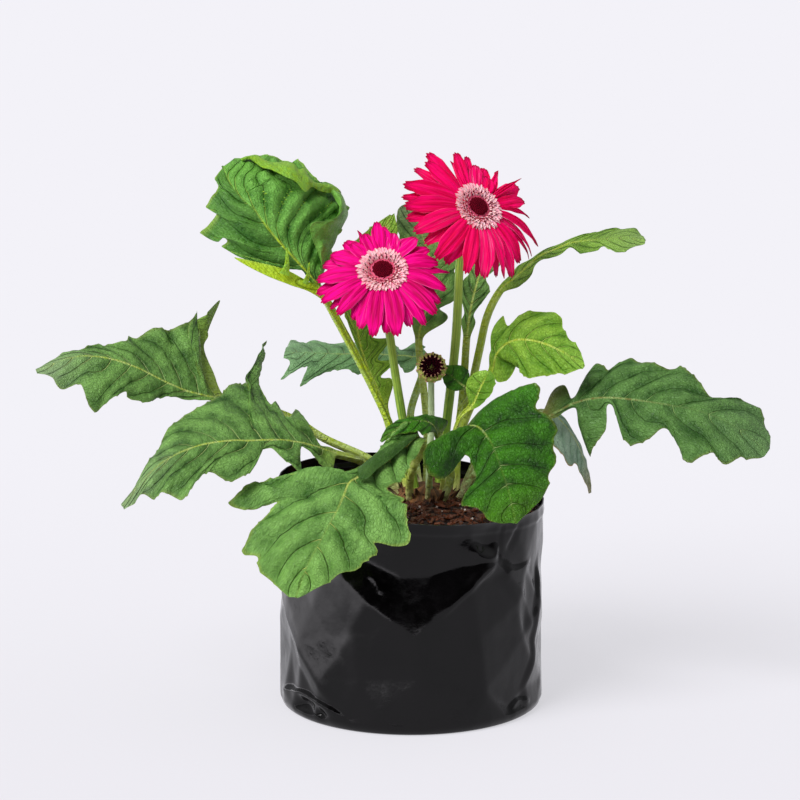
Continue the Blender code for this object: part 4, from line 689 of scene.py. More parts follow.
            (10, 22, 145), (9, 30, 173), (6, 42, 198), (5, 50, 216), (10, 57, 233), (13, 62, 254),
            (7, 63, 275), (-2, 60, 294),
        ],
        margin=[
            (0, 2, 0, 2, 0), (10, 7, 2, 15, 9), (18, 4, 2, 7, 5), (25, 9, 3, 19, 9), (34, 10, 6, 19, 8),
            (43, 4, 5, 13, 5), (56, 13, 14, 22, 0), (70, 13, 16, 23, -4), (82, 8, 15, 20, -3),
            (92, 4, 9, 13, 0), (100, 0, 2, 3, 0),
        ],
        lift=[(0, 10, 10), (100, 8, 8)],
    ),
    "leaf_upright_right": dict(
        seat=("outer", 56), blade=0.65, bend=10, wave=0.8, finish="leafGreen", quilt=0.8, veinGap=8,
        face=[(-0.2, -0.9, 0.3), (-0.1, -0.85, 0.5)],
        line=[(28, 34, 156), (32, 40, 186), (34, 46, 213), (37, 50, 234), (42, 54, 252), (49, 56, 267)],
        margin=[
            (0, 2, 0, 2, 0), (11, 5, 3, 5, 3), (21, 3, 2, 2, 2), (35, 9, 6, 8, 6), (49, 9, 5, 9, 6),
            (63, 6, 3, 4, 3), (76, 12, 3, 10, 8), (88, 11, 4, 8, 7), (100, 2, 1, 2, 1),
        ],
        lift=[(0, 14, 14), (100, 8, 8)],
    ),
    "leaf_yellow_green": dict(
        seat=("outer", 134), blade=0.33, bend=10, wave=0.8, finish="brightGreen", quilt=0.8, veinGap=8,
        face=[(0.4, -0.85, 0.3), (0.1, -0.9, 0.4)],
        line=[
            (-8, 24, 146), (-15, 24, 171), (-20, 26, 186), (-27, 29, 201), (-32, 31, 219), (-33, 32, 237),
            (-29, 33, 254), (-22, 33, 272), (-12, 32, 292),
        ],
        margin=[
            (0, 1, 0, 3, 0), (8, 3, 1, 12, 2), (13, 3, 1, 4, 0), (18, 2, 1, 20, -1), (22, 2, 1, 7, 0),
            (28, 2, 2, 21, 3), (33, 3, 1, 8, 1), (39, 6, 6, 11, 5), (47, 10, 8, 14, 12), (54, 16, 9, 17, 16),
            (65, 16, 9, 16, 17), (77, 11, 8, 10, 15), (89, 5, 6, 7, 8), (100, 1, 0, 1, 2),
        ],
        lift=[(0, 16, 10), (100, 4, 4)],
    ),
    "leaf_young_folded": dict(
        seat=("inner", 320), blade=0.75, bend=4, wave=0.5, slim=0.55, finish="brightGreen", quilt=0.4,
        veinGap=6, shade=(0, 0.36), face=[(-0.5, -0.8, 0.3), (-0.3, -0.85, 0.4)],
        line=[(20, -4, 146), (27, -8, 172), (32, -10, 180), (37, -11, 185), (41, -11, 194), (46, -10, 204)],
        margin=[
            (0, 1, -1, 2, 0), (15, 5, 0, 6, 1), (40, 8, 0, 10, 1), (63, 9, -1, 10, 2), (84, 7, 0, 6, 3),
            (100, 2, 0, 0, 1),
        ],
        lift=[(0, 30, 26), (100, 20, 20)],
    ),
    "leaf_young_dark": dict(
        seat=("inner", 5), blade=0.81, bend=8, wave=0.5, slim=0.55, finish="darkGreen", quilt=0.3, veinGap=6,
        face=[(0, -0.6, 0.8), (-0.3, -0.7, 0.6)],
        line=[
            (25, 8, 150), (29, 6, 178), (33, 3, 187), (33, 1, 192), (29, 1, 195), (23, 2, 200), (18, 3, 203),
        ],
        margin=[(0, 3, 1, 2, 0), (18, 7, 1, 10, -2), (44, 8, 0, 9, 2), (74, 5, 1, 6, 0), (100, 0, 1, 2, 1)],
        lift=[(0, 6, 14), (100, 6, 14)],
    ),
    "leaf_young_front": dict(
        seat=("outer", 266), blade=0.52, bend=14, wave=0.8, slim=0.65, finish="darkGreen", quilt=0.4,
        veinGap=7, face=[(0.1, -0.5, 0.86), (-0.4, -0.5, 0.77)],
        line=[
            (11, -11, 138), (14, -14, 154), (16, -18, 166), (12, -23, 175), (2, -29, 178), (-8, -35, 175),
            (-18, -40, 168),
        ],
        margin=[
            (0, 0, -3, 8, -3), (9, 1, -4, 16, -7), (22, 12, 10, 9, -4), (39, 9, 8, 4, 0), (58, 6, 6, 5, 1),
            (78, 3, 5, 5, 2), (100, 1, 0, 1, 0),
        ],
        lift=[(0, -4, 10), (100, 2, 14)],
    ),
    "leaf_drooping_right": dict(
        seat=("outer", 8), blade=0.58, bend=10, wave=0.6, finish="greyGreen", quilt=0.6, veinGap=8,
        face=[(0.3, -0.3, 0.9), (0.75, -0.4, 0.5)],
        line=[
            (44, 22, 152), (73, 30, 170), (84, 30, 172), (91, 28, 167), (99, 26, 157), (105, 24, 144),
            (110, 22, 123),
        ],
        margin=[
            (0, 2, 1, 4, 2), (12, 5, -1, 18, 4), (23, 5, 0, 25, 5), (32, 4, 2, 22, 12), (43, 4, 2, 18, 14),
            (53, 4, 2, 9, 7), (69, 4, 2, 8, 4), (100, 1, 0, 3, 0),
        ],
        lift=[(0, 6, 6), (60, 0, 0), (100, 10, 10)],
    ),
}

leafBuild = dict(
    rowGap=1.6,         # rows of the mesh stand this far apart along the margin
    stalkGap=2.5,
    wideColumns=26,     # columns in half a wide blade, and in half a narrow one
    narrowColumns=14,
    wideHalf=24,
    stalkHalfWidth=2.3,
    stalkThickness=4.0,
    ribHalfWidth=1.5,
    bladeThickness=0.5,
    flapThickness=0.45,
    toothGap=7.5,       # small teeth of the margin, and how far they stand out
    toothLength=1.5,
    sweep=13,           # percent of the blade that a side vein runs ahead on its way out
    inner=8.5,          # the two rings that stalks are seated on, round the crown's centre
    outer=16,
    seatHeight=119,
)


class Midline:
    # a smooth line read by the distance along it
    def __init__(self, points):
        self.line = curvePoints(points)
        self.run = runOf(self.line)
        self.middle = 0.5 * (self.run[1:] + self.run[:-1])
        self.heading = np.diff(self.line, axis=0) / np.diff(self.run)[:, None]
        self.length = self.run[-1]

    def at(self, distance):
        held = np.clip(distance, 0.0, self.length)
        heading = normalised(pack(*[np.interp(held, self.middle, axis) for axis in self.heading.T]))
        point = pack(*[np.interp(held, self.run, axis) for axis in self.line.T])
        return point + heading * (distance - held)[..., None], heading


def seatPoint(ring, degrees):
    outward = compass(math.radians(degrees))[0]
    return crownCentre + leafBuild[ring] * outward + leafBuild["seatHeight"] * upright


def relax(values, rounds):  # softens the corners along a list, with its ends held
    values = values.copy()
    for _ in range(rounds):
        values[1:-1] += 0.5 * (0.5 * (values[2:] + values[:-2]) - values[1:-1])
    return values


class Leaf:
    # where any point of a leaf's upper face lies
    def __init__(self, look, seed):
        self.look, self.seed = look, seed
        self.slim = look.get("slim", 1.0)
        self.shade = dict(zip((-1, 1), look.get("shade", (0, 0))))
        self.midline = Midline([seatPoint(*look["seat"]), *look["line"]])
        self.start = self.midline.length * look["blade"]
        self.blade = self.midline.length - self.start
        outward = compass(math.radians(look["seat"][1]))[0]
        self.faces = [0.15 * upright - outward, *np.array(look["face"], float)]
        self.layRows()

    def percent(self, distance):
        return 100.0 * (distance - self.start) / self.blade

    def table(self, key, percent, side):  # a row of the table is percent, left, right
        rows = np.array(self.look.get(key, [(0, 0, 0)]), float)
        return np.interp(percent, rows[:, 0], rows[:, 2 if side > 0 else 1])

    def layRows(self):
        # distances of the mesh's rows along the midline, with the margin that each reaches on either side
        rows = np.array(self.look["margin"], float)
        at = self.start + self.blade * rows[:, 0] / 100
        ends = np.stack([rows[:, 1], at + rows[:, 2], rows[:, 3], at + rows[:, 4]], 1)
        padded = withEnds(ends)
        distance = list(np.linspace(0, self.start, int(self.start / leafBuild["stalkGap"]) + 1)[:-1])
        half = leafBuild["stalkHalfWidth"] * self.slim
        margin = [(half, d, half, d) for d in distance]
        for i, step in enumerate(np.diff(ends, axis=0)):
            longest = max(np.hypot(*step[:2]), np.hypot(*step[2:]), at[i + 1] - at[i])
            count = max(1, int(np.ceil(longest / leafBuild["rowGap"])))
            for t in np.arange(count) / count:
                distance.append(at[i] + (at[i + 1] - at[i]) * t)
                margin.append(0.4 * (ends[i] + step * t) + 0.6 * glide(*padded[i:i + 4], t))
        self.rows = np.array([*distance, at[-1]])
        margin = np.array([*margin, ends[-1]])
        self.margins = {-1: self.toothed(margin[:, :2], -1), 1: self.toothed(margin[:, 2:], 1)}

    def toothed(self, margin, side):  # how far out and how far ahead the margin lies at each row
        soft = 0.25 * margin + 0.75 * relax(margin, 5)
        run = runOf(soft)
        blade = smoothStep(self.start + 4, self.start + 12, self.rows)
        for k in range(int(run[-1] / leafBuild["toothGap"])):
            place = leafBuild["toothGap"] * (k + 0.5 + 0.35 * vary(k, self.seed + side))
            tooth = np.exp(-(((run - place) / 1.2) ** 2)) * blade * leafBuild["toothLength"]
            soft[:, 0] += tooth * (0.5 + 0.4 * vary(k, self.seed + 7)) * smoothStep(4, 9, soft[:, 0])
        return np.maximum(soft[:, 0], 1.0), soft[:, 1] - self.rows

    def frame(self, distance):
        point, heading = self.midline.at(distance)
        onStalk = smoothStep(0, self.start, distance)[..., None]
        onBlade = np.clip(self.percent(distance) / 100, 0, 1)[..., None]
        stalk = self.faces[0] * (1 - onStalk) + self.faces[1] * onStalk
        blade = self.faces[1] * (1 - onBlade) + self.faces[2] * onBlade
        up = squareTo(heading, np.where((distance < self.start)[..., None], stalk, blade))
        return point, heading, up, np.cross(heading, up)

    def veinPlaces(self, side):
        # percents at which side veins leave the midrib: one to each lobe, and more where the gap is wide
        rows = [(row[0], row[3 if side > 0 else 1]) for row in self.look["margin"]]
        tips = [b[0] for a, b, c in zip(rows, rows[1:], rows[2:]) if b[1] > a[1] and b[1] >= c[1]]
        stops = [0.0, *[p for p in tips if 2 < p < 97], 100.0]
        gap = 100 * self.look["veinGap"] / self.blade
        places = []
        for low, high in zip(stops, stops[1:]):
            count = max(1, round((high - low) / gap))
            places += [low + (high - low) * i / count for i in range(count)]
        below = np.arange(-80, 0, gap)
        return np.array([*(below - below[-1] - gap), *places, 100.0])

    def veinSpacing(self, point, phase):
        # the gap between side veins, from how fast the phase changes over the face
        along, out = np.gradient(point, axis=0), np.gradient(point, axis=1)
        turnAlong, turnOut = np.gradient(phase, axis=0), np.gradient(phase, axis=1)
        aa, ab, bb = (along * along).sum(-1), (along * out).sum(-1), (out * out).sum(-1)
        area = np.maximum(aa * bb - ab * ab, 1e-6)
        rate = (turnAlong**2 * bb - 2 * turnAlong * turnOut * ab + turnOut**2 * aa) / area
        return np.clip(1 / np.sqrt(np.maximum(rate, 1e-6)), 1.5, 40.0)

    def half(self, side, shares):
        # points, outward normals and maps of one half of the upper face, over rows and shares of the width
        look, seed = self.look, self.seed
        rows = np.broadcast_to(self.rows[:, None], shares.shape)
        percent = self.percent(rows)
        margin, lead = (part[:, None] for part in self.margins[side])
        out = margin * shares
        bow = self.table("bow", percent, side) * 4 * shares * (1 - shares)
        place = rows + (lead * shares**1.5 + bow) * (percent >= 0)
        held = np.maximum(place, np.minimum(rows, self.start))
        point, heading, up, across = self.frame(held)
        point = point + heading * np.minimum(0.0, place - held)[..., None]
        begun = smoothStep(-4, 10, rows - self.start)
        angle = np.radians((self.table("lift", percent, side) - 0.5 * look["bend"] * shares) * begun)
        wave = look["wave"] * shares**2 * np.sin(0.42 * percent + side) * np.minimum(1, margin / 15) * begun
        lean, rise = np.cos(angle)[..., None], np.sin(angle)[..., None]
        point = point + across * (side * out)[..., None] * lean
        point = point + up * (out[..., None] * rise + wave[..., None])
        normal = up * lean - across * side * rise
        places = self.veinPlaces(side)
        begins = percent - leafBuild["sweep"] * shares**1.4 * smoothStep(0, 15, percent)
        if side > 0 and "veinStart" in look:
            ends, starts = np.array(look["veinStart"], float).T
            begins = percent + (np.interp(percent, ends, starts) - percent) * shares**0.6
        phase = np.interp(begins, places, np.arange(len(places)))
        spacing = self.veinSpacing(point, phase)
        bulge = np.abs(np.sin(np.pi * phase)) ** look.get("crest", 0.75)
        cells = 0.5 - 0.5 * np.cos(2 * np.pi * (out / 6.5 + 0.37 * np.floor(phase)))
        relief = look["quilt"] * smoothStep(0, 0.12, shares) * (1 - 0.45 * shares**2)
        relief = relief * smoothStep(2, 11, spacing) * smoothStep(2, 8, margin)
        relief = relief * (0.85 * bulge + 0.3 * bulge * cells - 0.5)
        relief += 0.6 * softNoise(percent / 9, out / 9, seed) * shares
        relief += 0.2 * softNoise(rows / 2.6, out / 2.6, seed + 3) * smoothStep(0, 0.2, shares)
        maps = dict(
            veins=pack(phase, shares),
            sizes=pack(spacing, out),
            blade=pack(rows, side * out),
            # the first number of sides holds this half's painted shade, as a negative value
            sides=pack(-self.shade[side] * smoothStep(6, 16, percent), np.clip(1 + percent / 100, 0, 2)),
        )
        return point + normal * (relief * begun)[..., None], normal, maps

    def addFlaps(self, solid):
        for flap in self.look.get("flaps", []):
            margin, edge = Midline(flap["margin"]), Midline(flap["edge"])
            s = np.linspace(0, 1, int(margin.length) + 6)
            t = np.linspace(0, 1, 17)
            start, end = margin.at(s * margin.length)[0], edge.at(s * edge.length)[0]
            run, width = s[:, None] * margin.length, np.linalg.norm(end - start, axis=1)[:, None]
            rise = flap["bulge"] * np.sin(np.pi * t**0.75) * smoothStep(-0.5, 6, width)
            rise = rise * (1 + 0.35 * softNoise(run / 6 + 0 * t, 2 * t, 7))
            rise += 0.25 * softNoise(run / 3.5 + 0 * t, 3 * t, 4) * smoothStep(0, 4, width)
            sheet = start[:, None] + (end - start)[:, None] * t[:, None]
            sheet = sheet + rise[..., None] * np.array([0.0, -0.93, 0.36])
            out = normalised(np.cross(np.gradient(sheet, axis=1), np.gradient(sheet, axis=0)))
            if out[..., 1].mean() > 0:
                sheet, out, t = sheet[:, ::-1], -out[:, ::-1], t[::-1]
            maps = dict(
                veins=pack(0.4, 0.35 + 0.6 * t),
                sizes=pack(12, 4 + width * t),
                blade=pack(60 + run, 6 + width * t),
                sides=(flap["under"], 1.4),
            )
            solid.addSheet(sheet, sheet - out * leafBuild["flapThickness"], **maps)

    def depth(self, rows, out, shares):
        # how thick the leaf is: round below the stalk and the midrib, thin in the blade
        t = np.clip(self.percent(rows) / 100, 0, 1)
        thin = leafBuild["bladeThickness"]
        thick = thin + (self.slim * leafBuild["stalkThickness"] - thin) * (1 - t) ** 1.6
        stalk = 1 - smoothStep(-8, 8, rows - self.start)
        narrow = leafBuild["ribHalfWidth"] * (1 - 0.6 * t)
        radius = self.slim * (narrow + (leafBuild["stalkHalfWidth"] - narrow) * stalk)
        rounded = np.sqrt(np.clip(1 - (out / radius) ** 2, 0, 1))
        return np.maximum(thin * (1 - 0.75 * shares**8), thick * rounded)


def buildLeaf(node, look, seed):
    leaf = Leaf(look, seed)
    widest = max(max(row[1], row[3]) for row in look["margin"])
    columns = leafBuild["wideColumns" if widest > leafBuild["wideHalf"] else "narrowColumns"]
    ribSteps = np.array([0, 0.3, 0.6, 0.85, 1.0])
    outer = 1 - (1 - np.arange(1, columns + 1) / columns) ** 1.35
    halves = []
    for side in (-1, 1):
        margin, rows = leaf.margins[side][0][:, None], leaf.rows[:, None]
        rib = np.minimum(leafBuild["ribHalfWidth"] * leaf.slim * 1.15 / margin, 0.6)
        shares = np.concatenate([rib * ribSteps, rib + (1 - rib) * outer], axis=1)
        point, normal, maps = leaf.half(side, shares)
        below = point - normal * leaf.depth(rows, margin * shares, shares)[..., None]
        groove = 0.45 * (1 - smoothStep(-5, 12, rows - leaf.start)) * (1 - shares**2) * np.cos(np.pi * shares)
        halves.append(dict(maps, top=point - normal * groove[..., None], bottom=below))
    left, right = halves
    maps = {key: np.concatenate([left[key][:, ::-1], right[key]], axis=1) for key in right}
    top, bottom = maps.pop("top"), maps.pop("bottom")
    seam = len(ribSteps) + columns - 1
    bottom[:, seam:seam + 2] = bottom[:, seam:seam + 2].mean(1, keepdims=True)
    solid = Solid("blade", "veins", "sizes", "sides")
    solid.addSheet(top, bottom, seam=seam, sidesBelow=maps["sides"] + (1.0, 0.0), **maps)
    leaf.addFlaps(solid)
    solid.make(*leafMaterials[look["finish"]], node)


leafMaterials = {}
for seed, (name, look) in enumerate(leafFinishes.items()):
    look = dict(plainFinish, **look)
    leafMaterials[name] = (makeLeafMaterial(name, look, seed), look["slot"])
for seed, (node, look) in enumerate(leaves.items()):
    buildLeaf(node, look, seed)
print("leaves made")

# Film grow bag

bag = dict(
    radius=80,
    rimHeight=131,
    rimTilt=7.5,       # the rim stands this much higher on its high side
    highSide=150,      # degrees round from +X
    cornerHeight=5,
    columns=360,
    rows=104,
    film=0.4,
    lip=1.1,           # height of the thick lip along the rim, and how far it stands out
    lipOut=0.35,
    hem=6.6,           # height of the band below it, and how far it stands off at its foot
    hemOut=0.9,
    crinkle=0.14,
    foot=[(0, 0), (40, 0), (75, 0), (77.4, 0.4), (78.6, 1.4)],  # radius and height under the first row
    # folds of the film: places (degrees, height) along each, how far it is pressed in, and how far that
    # reaches to the left and to the right of the way it runs
    folds=[
        dict(line=[(250, 97), (254.5, 93), (258, 84)], depth=-0.8, reach=(0.9, 3.0)),
        dict(line=[(280, 68), (290, 80), (300, 90), (312, 101)], depth=-1.0, reach=(7, 2)),
        dict(line=[(299, 113), (300, 108), (304, 104), (310, 104), (313, 111)], depth=-1.8, reach=(5.5, 3.2)),
        dict(line=[(315.5, 123), (314, 110), (313, 100)], depth=0.7, reach=(1.5, 4)),
        dict(line=[(326, 121), (322, 112), (317, 104)], depth=0.8, reach=(5, 1.8)),
        dict(line=[(314, 96), (324, 92.5), (338, 95)], depth=-1.0, reach=(1.6, 7)),
        dict(line=[(309, 98), (320, 86), (329, 70), (334, 56), (338, 40)], depth=-1.6, reach=(18, 8)),
        dict(line=[(352, 96), (343, 76), (338, 56), (336, 34), (327, 12)], depth=-2.2, reach=(20, 4)),
        dict(line=[(194, 96), (198, 69), (209, 51), (222, 33), (238, 8)], depth=-2.4, reach=(26, 9)),
        dict(line=[(254, 86), (247, 62), (245, 50), (248, 26), (256, 6)], depth=-0.5, reach=(16, 10)),
        dict(
            line=[(190, 10), (203, 14.2), (213, 16), (222, 15.6), (233, 12), (243, 6)], depth=-1.8,
            reach=(2.6, 9),
        ),
        dict(line=[(317, 7.5), (321, 10.5), (326, 12), (334, 9)], depth=-1.8, reach=(0.9, 6)),
    ],
)


def blurred(grid, rounds):  # softens a grid that closes on itself along its first direction
    for _ in range(rounds):
        grid = 0.5 * grid + 0.25 * (np.roll(grid, 1, 0) + np.roll(grid, -1, 0))
        grid[:, 1:-1] = 0.5 * grid[:, 1:-1] + 0.25 * (grid[:, 2:] + grid[:, :-2])
    return grid


def filmRadii(degrees, heights):  # how far out the CAD film stands at each place
    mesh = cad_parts["grow_bag"].data
    faces = [tuple(face.vertices) for face in mesh.polygons]
    tree = BVHTree.FromPolygons([vert.co / mm for vert in mesh.vertices], faces)
    radii = np.full(heights.shape, float(bag["radius"]))
    for i, turn in enumerate(np.radians(degrees)):
        outward = Vector(compass(turn)[0])
        for j, height in enumerate(heights[i]):
            hit = tree.ray_cast(outward * 100 + Vector((0, 0, height)), -outward, 60)[0]
            if hit is not None:
                radii[i, j] = math.hypot(hit.x, hit.y)
    return radii


def foldDepth(fold, around, heights):  # how far one fold presses the film in, over a grid of places
    line = curvePoints(fold["line"], 8)
    line[:, 0] = np.radians(line[:, 0]) * bag["radius"]
    run = runOf(line)
    nearest, side, place = np.full(around.shape, 1e9), np.zeros(around.shape), np.zeros(around.shape)
    for (x, y), (dx, dy), first, last in zip(line, np.diff(line, axis=0), run, run[1:]):
        t = np.clip(((around - x) * dx + (heights - y) * dy) / (dx * dx + dy * dy), 0, 1)
        offX, offY = around - x - t * dx, heights - y - t * dy
        away = np.hypot(offX, offY)
        closer = away < nearest
        nearest = np.where(closer, away, nearest)
        side = np.where(closer, dx * offY - dy * offX, side)
        place = np.where(closer, first + t * (last - first), place)
    reach = np.where(side > 0, *fold["reach"])
    end = 0.22 * run[-1]
    fade = smoothStep(-0.02, end, place) * smoothStep(-0.02, end, run[-1] - place)
    return fold["depth"] * fade * np.clip(1 - nearest / reach, 0, 1)


def makeFilmMaterial():
    finish = Finish("blackFilm", Specular_IOR_Level=0.24)
    dust = finish.use(mottle, Size=24.0, Contrast=1.2, Seed=31.0)
    scuffs = finish.use(mottle, Size=5.0, Contrast=0.8, Seed=12.0)
    worn = finish.times(scuffs["Fine"], 0.06)
    colour = finish.layers("#020202", (dust["Mask"], "#060506"), (worn, "#1c191a"))
    grain = finish.maths("ADD", scuffs["Mask"], finish.times(dust["Fine"], 0.6))
    return finish.done(colour, grain, 0.06, finish.remap(dust["Fine"], 0.0, 1.0, 0.1, 0.19), 0.5)


def addClosed(solid, top, bottom, **maps):  # a sheet between grids whose first direction runs round the bag
    solid.addSheet(top.transpose(1, 0, 2), bottom.transpose(1, 0, 2), closed=True, **maps)


def buildBag():
    degrees = (np.arange(bag["columns"]) * 360 / bag["columns"])[:, None]
    share = np.linspace(0, 1, bag["rows"])
    top = bag["rimHeight"] + bag["rimTilt"] * np.cos(np.radians(degrees - bag["highSide"]))
    heights = bag["cornerHeight"] + (top - bag["cornerHeight"]) * share
    radii = blurred(filmRadii(degrees[:, 0], np.minimum(heights, top - 0.05)), 2)
    around = np.radians(degrees) * bag["radius"] + 0 * heights
    for fold in bag["folds"]:
        radii -= foldDepth(fold, around, heights)
    below = top - heights
    radii += bag["hemOut"] * np.clip(below / bag["hem"], 0, 1) * (1 - smoothStep(0, 0.9, below - bag["hem"]))
    wrap = smoothStep(0, 6, degrees) * smoothStep(0, 6, 360 - degrees)
    crinkle = softNoise(around / 11, heights / 15, 5) + 0.5 * softNoise(around / 5, heights / 8, 6)
    radii += bag["crinkle"] * crinkle * wrap * smoothStep(0, 0.08, share)
    lip = np.where(below < bag["lip"], bag["lipOut"], 0.0)
    angles = np.radians(degrees)
    foot = spun(*np.array(bag["foot"], float).T, angles)
    outer = np.concatenate([foot, spun(radii + lip, heights, angles)], axis=1)
    inner = np.concatenate([foot + bag["film"] * upright, spun(radii - bag["film"], heights, angles)], axis=1)
    solid = Solid()
    addClosed(solid, np.concatenate([outer, outer[:1]]), np.concatenate([inner, inner[:1]]))
    solid.make(makeFilmMaterial(), "black_film", "grow_bag", sharp=75, welded=True)


buildBag()

# Potting mix with its bark and perlite

soil = dict(
    edge=119, mound=5, bump=1.3, rings=50, spokes=180,
    wallGap=1.6,               # between the crust and the film
    chips=1500, chipLength=(2.0, 7.5), chipWidth=(1.4, 3.8),
    perlite=90, perliteSize=(0.7, 1.6), perliteReach=(26, 72),
)


def soilHeight(x, y):
    edge = min(1.0, math.hypot(x, y) / bag["radius"])
    bumps = soil["bump"] * noise.noise(Vector((x * 0.11, y * 0.11, 4.0))) * min(1.0, 5.0 * (1.0 - edge))
    return soil["edge"] + soil["mound"] * (1.0 - edge**2) + bumps


def makeSoilMaterial():
    finish = Finish("pottingMix", 0.95)
    coarse = finish.use(mottle, Size=4.0, Contrast=1.4, Seed=3.0)
    fine = finish.use(mottle, Size=1.4, Contrast=1.2, Seed=8.0)
    dry = finish.times(fine["Mask"], 0.3)
    colour = finish.layers("#080302", (coarse["Mask"], "#20100a"), (dry, "#5a2f1c"))
    return finish.done(colour, fine["Fine"], 0.6, finish.remap(fine["Fine"], 0.0, 1.0, 0.75, 1.0))


def makeBarkMaterial(name, dark, light, pale, roughness):
    finish = Finish(name, roughness)
    grain = finish.use(mottle, Size=2.2, Contrast=1.4, Seed=5.0)["Fine"]
    colour = finish.layers(dark, (finish.uv("tint")[0], light), (finish.times(grain, 0.45), pale))
    return finish.done(colour, grain, 0.35)


blockCorners = np.array([(-1, -1, -1), (1, -1, -1), (1, 1, -1), (-1, 1, -1),
                         (-1, -1, 1), (1, -1, 1), (1, 1, 1), (-1, 1, 1)])
blockFaces = [(0, 3, 2, 1), (4, 5, 6, 7), (0, 1, 5, 4), (1, 2, 6, 5), (2, 3, 7, 6), (3, 0, 4, 7)]


def addBlock(solid, seed, size, spins, place, lift, tint):
    # a rough block with chipped corners, turned about Z, Y and X, at a place (degrees, reach) on the mix
    shrink = [(0.75 + 0.25 * vary(k, seed), 0.8 + 0.3 * vary(k, seed + 1), 0.8 + 0.3 * vary(k, seed + 2))
              for k in range(len(blockCorners))]
    turn = Matrix.Identity(3)
    for angle, axis in zip(spins, "ZYX"):
        turn = turn @ Matrix.Rotation(angle, 3, axis)
    x, y, _ = place[1] * compass(math.radians(place[0]))[0]
    points = (0.5 * blockCorners * size * shrink) @ np.array(turn).T
    solid.add(points + (x, y, soilHeight(x, y) + lift), blockFaces, tint=tint)


def buildSoil():
    wallTurns = np.arange(0, 360, 3.0)
    walls = filmRadii(wallTurns, np.full((len(wallTurns), 1), float(soil["edge"])))[:, 0] - soil["wallGap"]
    turns = (np.arange(soil["spokes"] + 1) * 360 / soil["spokes"])[:, None]
    wall = np.interp(turns % 360, wallTurns, walls, period=360)
    x, y, _ = np.moveaxis(spun(wall * np.linspace(0, 1, soil["rings"]) ** 0.8, 0.0, np.radians(turns)), -1, 0)
    base = np.vectorize(soilHeight)(x, y)
    z = base + 0.5 + 0.7 * softNoise(x / 2.3, y / 2.3, 2) + 0.5 * softNoise(x / 1.1, y / 1.1, 3)
    crust = Solid()
    addClosed(crust, pack(x, y, z)[:, ::-1], pack(x, y, base - 3)[:, ::-1])
    crust.make(soilMaterial, "potting_mix", name="mixCrust", sharp=180, welded=True)
    chips, crumbs = Solid("tint"), Solid("tint")
    for i in range(soil["chips"]):
        turn = 180 + 180 * vary(i, 1)
        reach = math.sqrt(pick(i, 2)) * (np.interp(turn % 360, wallTurns, walls, period=360) - 2.5)
        length = pick(i, 3, *soil["chipLength"], power=2)
        width = min(length, pick(i, 4, *soil["chipWidth"]))
        spins = (math.pi * vary(i, 5), 0.5 * vary(i, 6), 0.7 * vary(i, 7))
        size = (length, width, 0.4 * width + 0.4)
        addBlock(chips, i + 0.5, size, spins, (turn, reach), pick(i, 8, 0.8, 1.7), pick(i, 9))
    for i in range(soil["perlite"]):
        place = (180 + 180 * vary(i, 21), pick(i, 22, *soil["perliteReach"]))
        spins = (3 * vary(i, 24), vary(i, 25), vary(i, 26))
        addBlock(crumbs, i + 0.7, pick(i, 23, *soil["perliteSize"]), spins, place, 1.9, pick(i, 27))
    bark = makeBarkMaterial("barkChips", "#0b0402", "#6a3012", "#8a4a22", 0.32)
    pale = makeBarkMaterial("perliteBits", "#d9b9ae", "#f2ece4", "#c9bdb2", 0.85)
    chips.make(bark, "potting_mix", name="barkChips", sharp=25)
    crumbs.make(pale, "potting_mix", name="perliteBits", sharp=30)


soilMaterial = makeSoilMaterial()
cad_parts["potting_mix"].data.materials.clear()
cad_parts["potting_mix"].data.materials.append(soilMaterial)
buildSoil()
print("bag and potting mix made")

# Crown, with the dry feet of old leaves

crown = dict(
    profile=[(0, 112), (21, 112), (21.5, 117), (23.5, 122), (20.5, 126), (15, 129), (8, 131), (0, 131.5)],
    floor=116, husks=46, huskFoot=119, huskReach=(11, 21), huskLength=(9, 19), huskHalfWidth=(1.2, 2.6),
)


def makeHuskMaterial():
    finish = Finish("crownSheath", 0.8)
    lines = finish.use(streaks, Lines=3.0, Length=1.2)
    dry = finish.mix(lines["Streak"], "#2e1608", "#8a5c30")
    fresh = finish.mix(lines["Streak"], "#b09a68", "#f0e6c4")
    young = finish.remap(finish.uv("tint")[0], 0.62, 0.72)
    colour = finish.layers(dry, (young, fresh), (finish.remap(lines["Along"], 0.5, 1.0), "#3c2010"))
    return finish.done(colour, lines["Grooves"], 0.5)


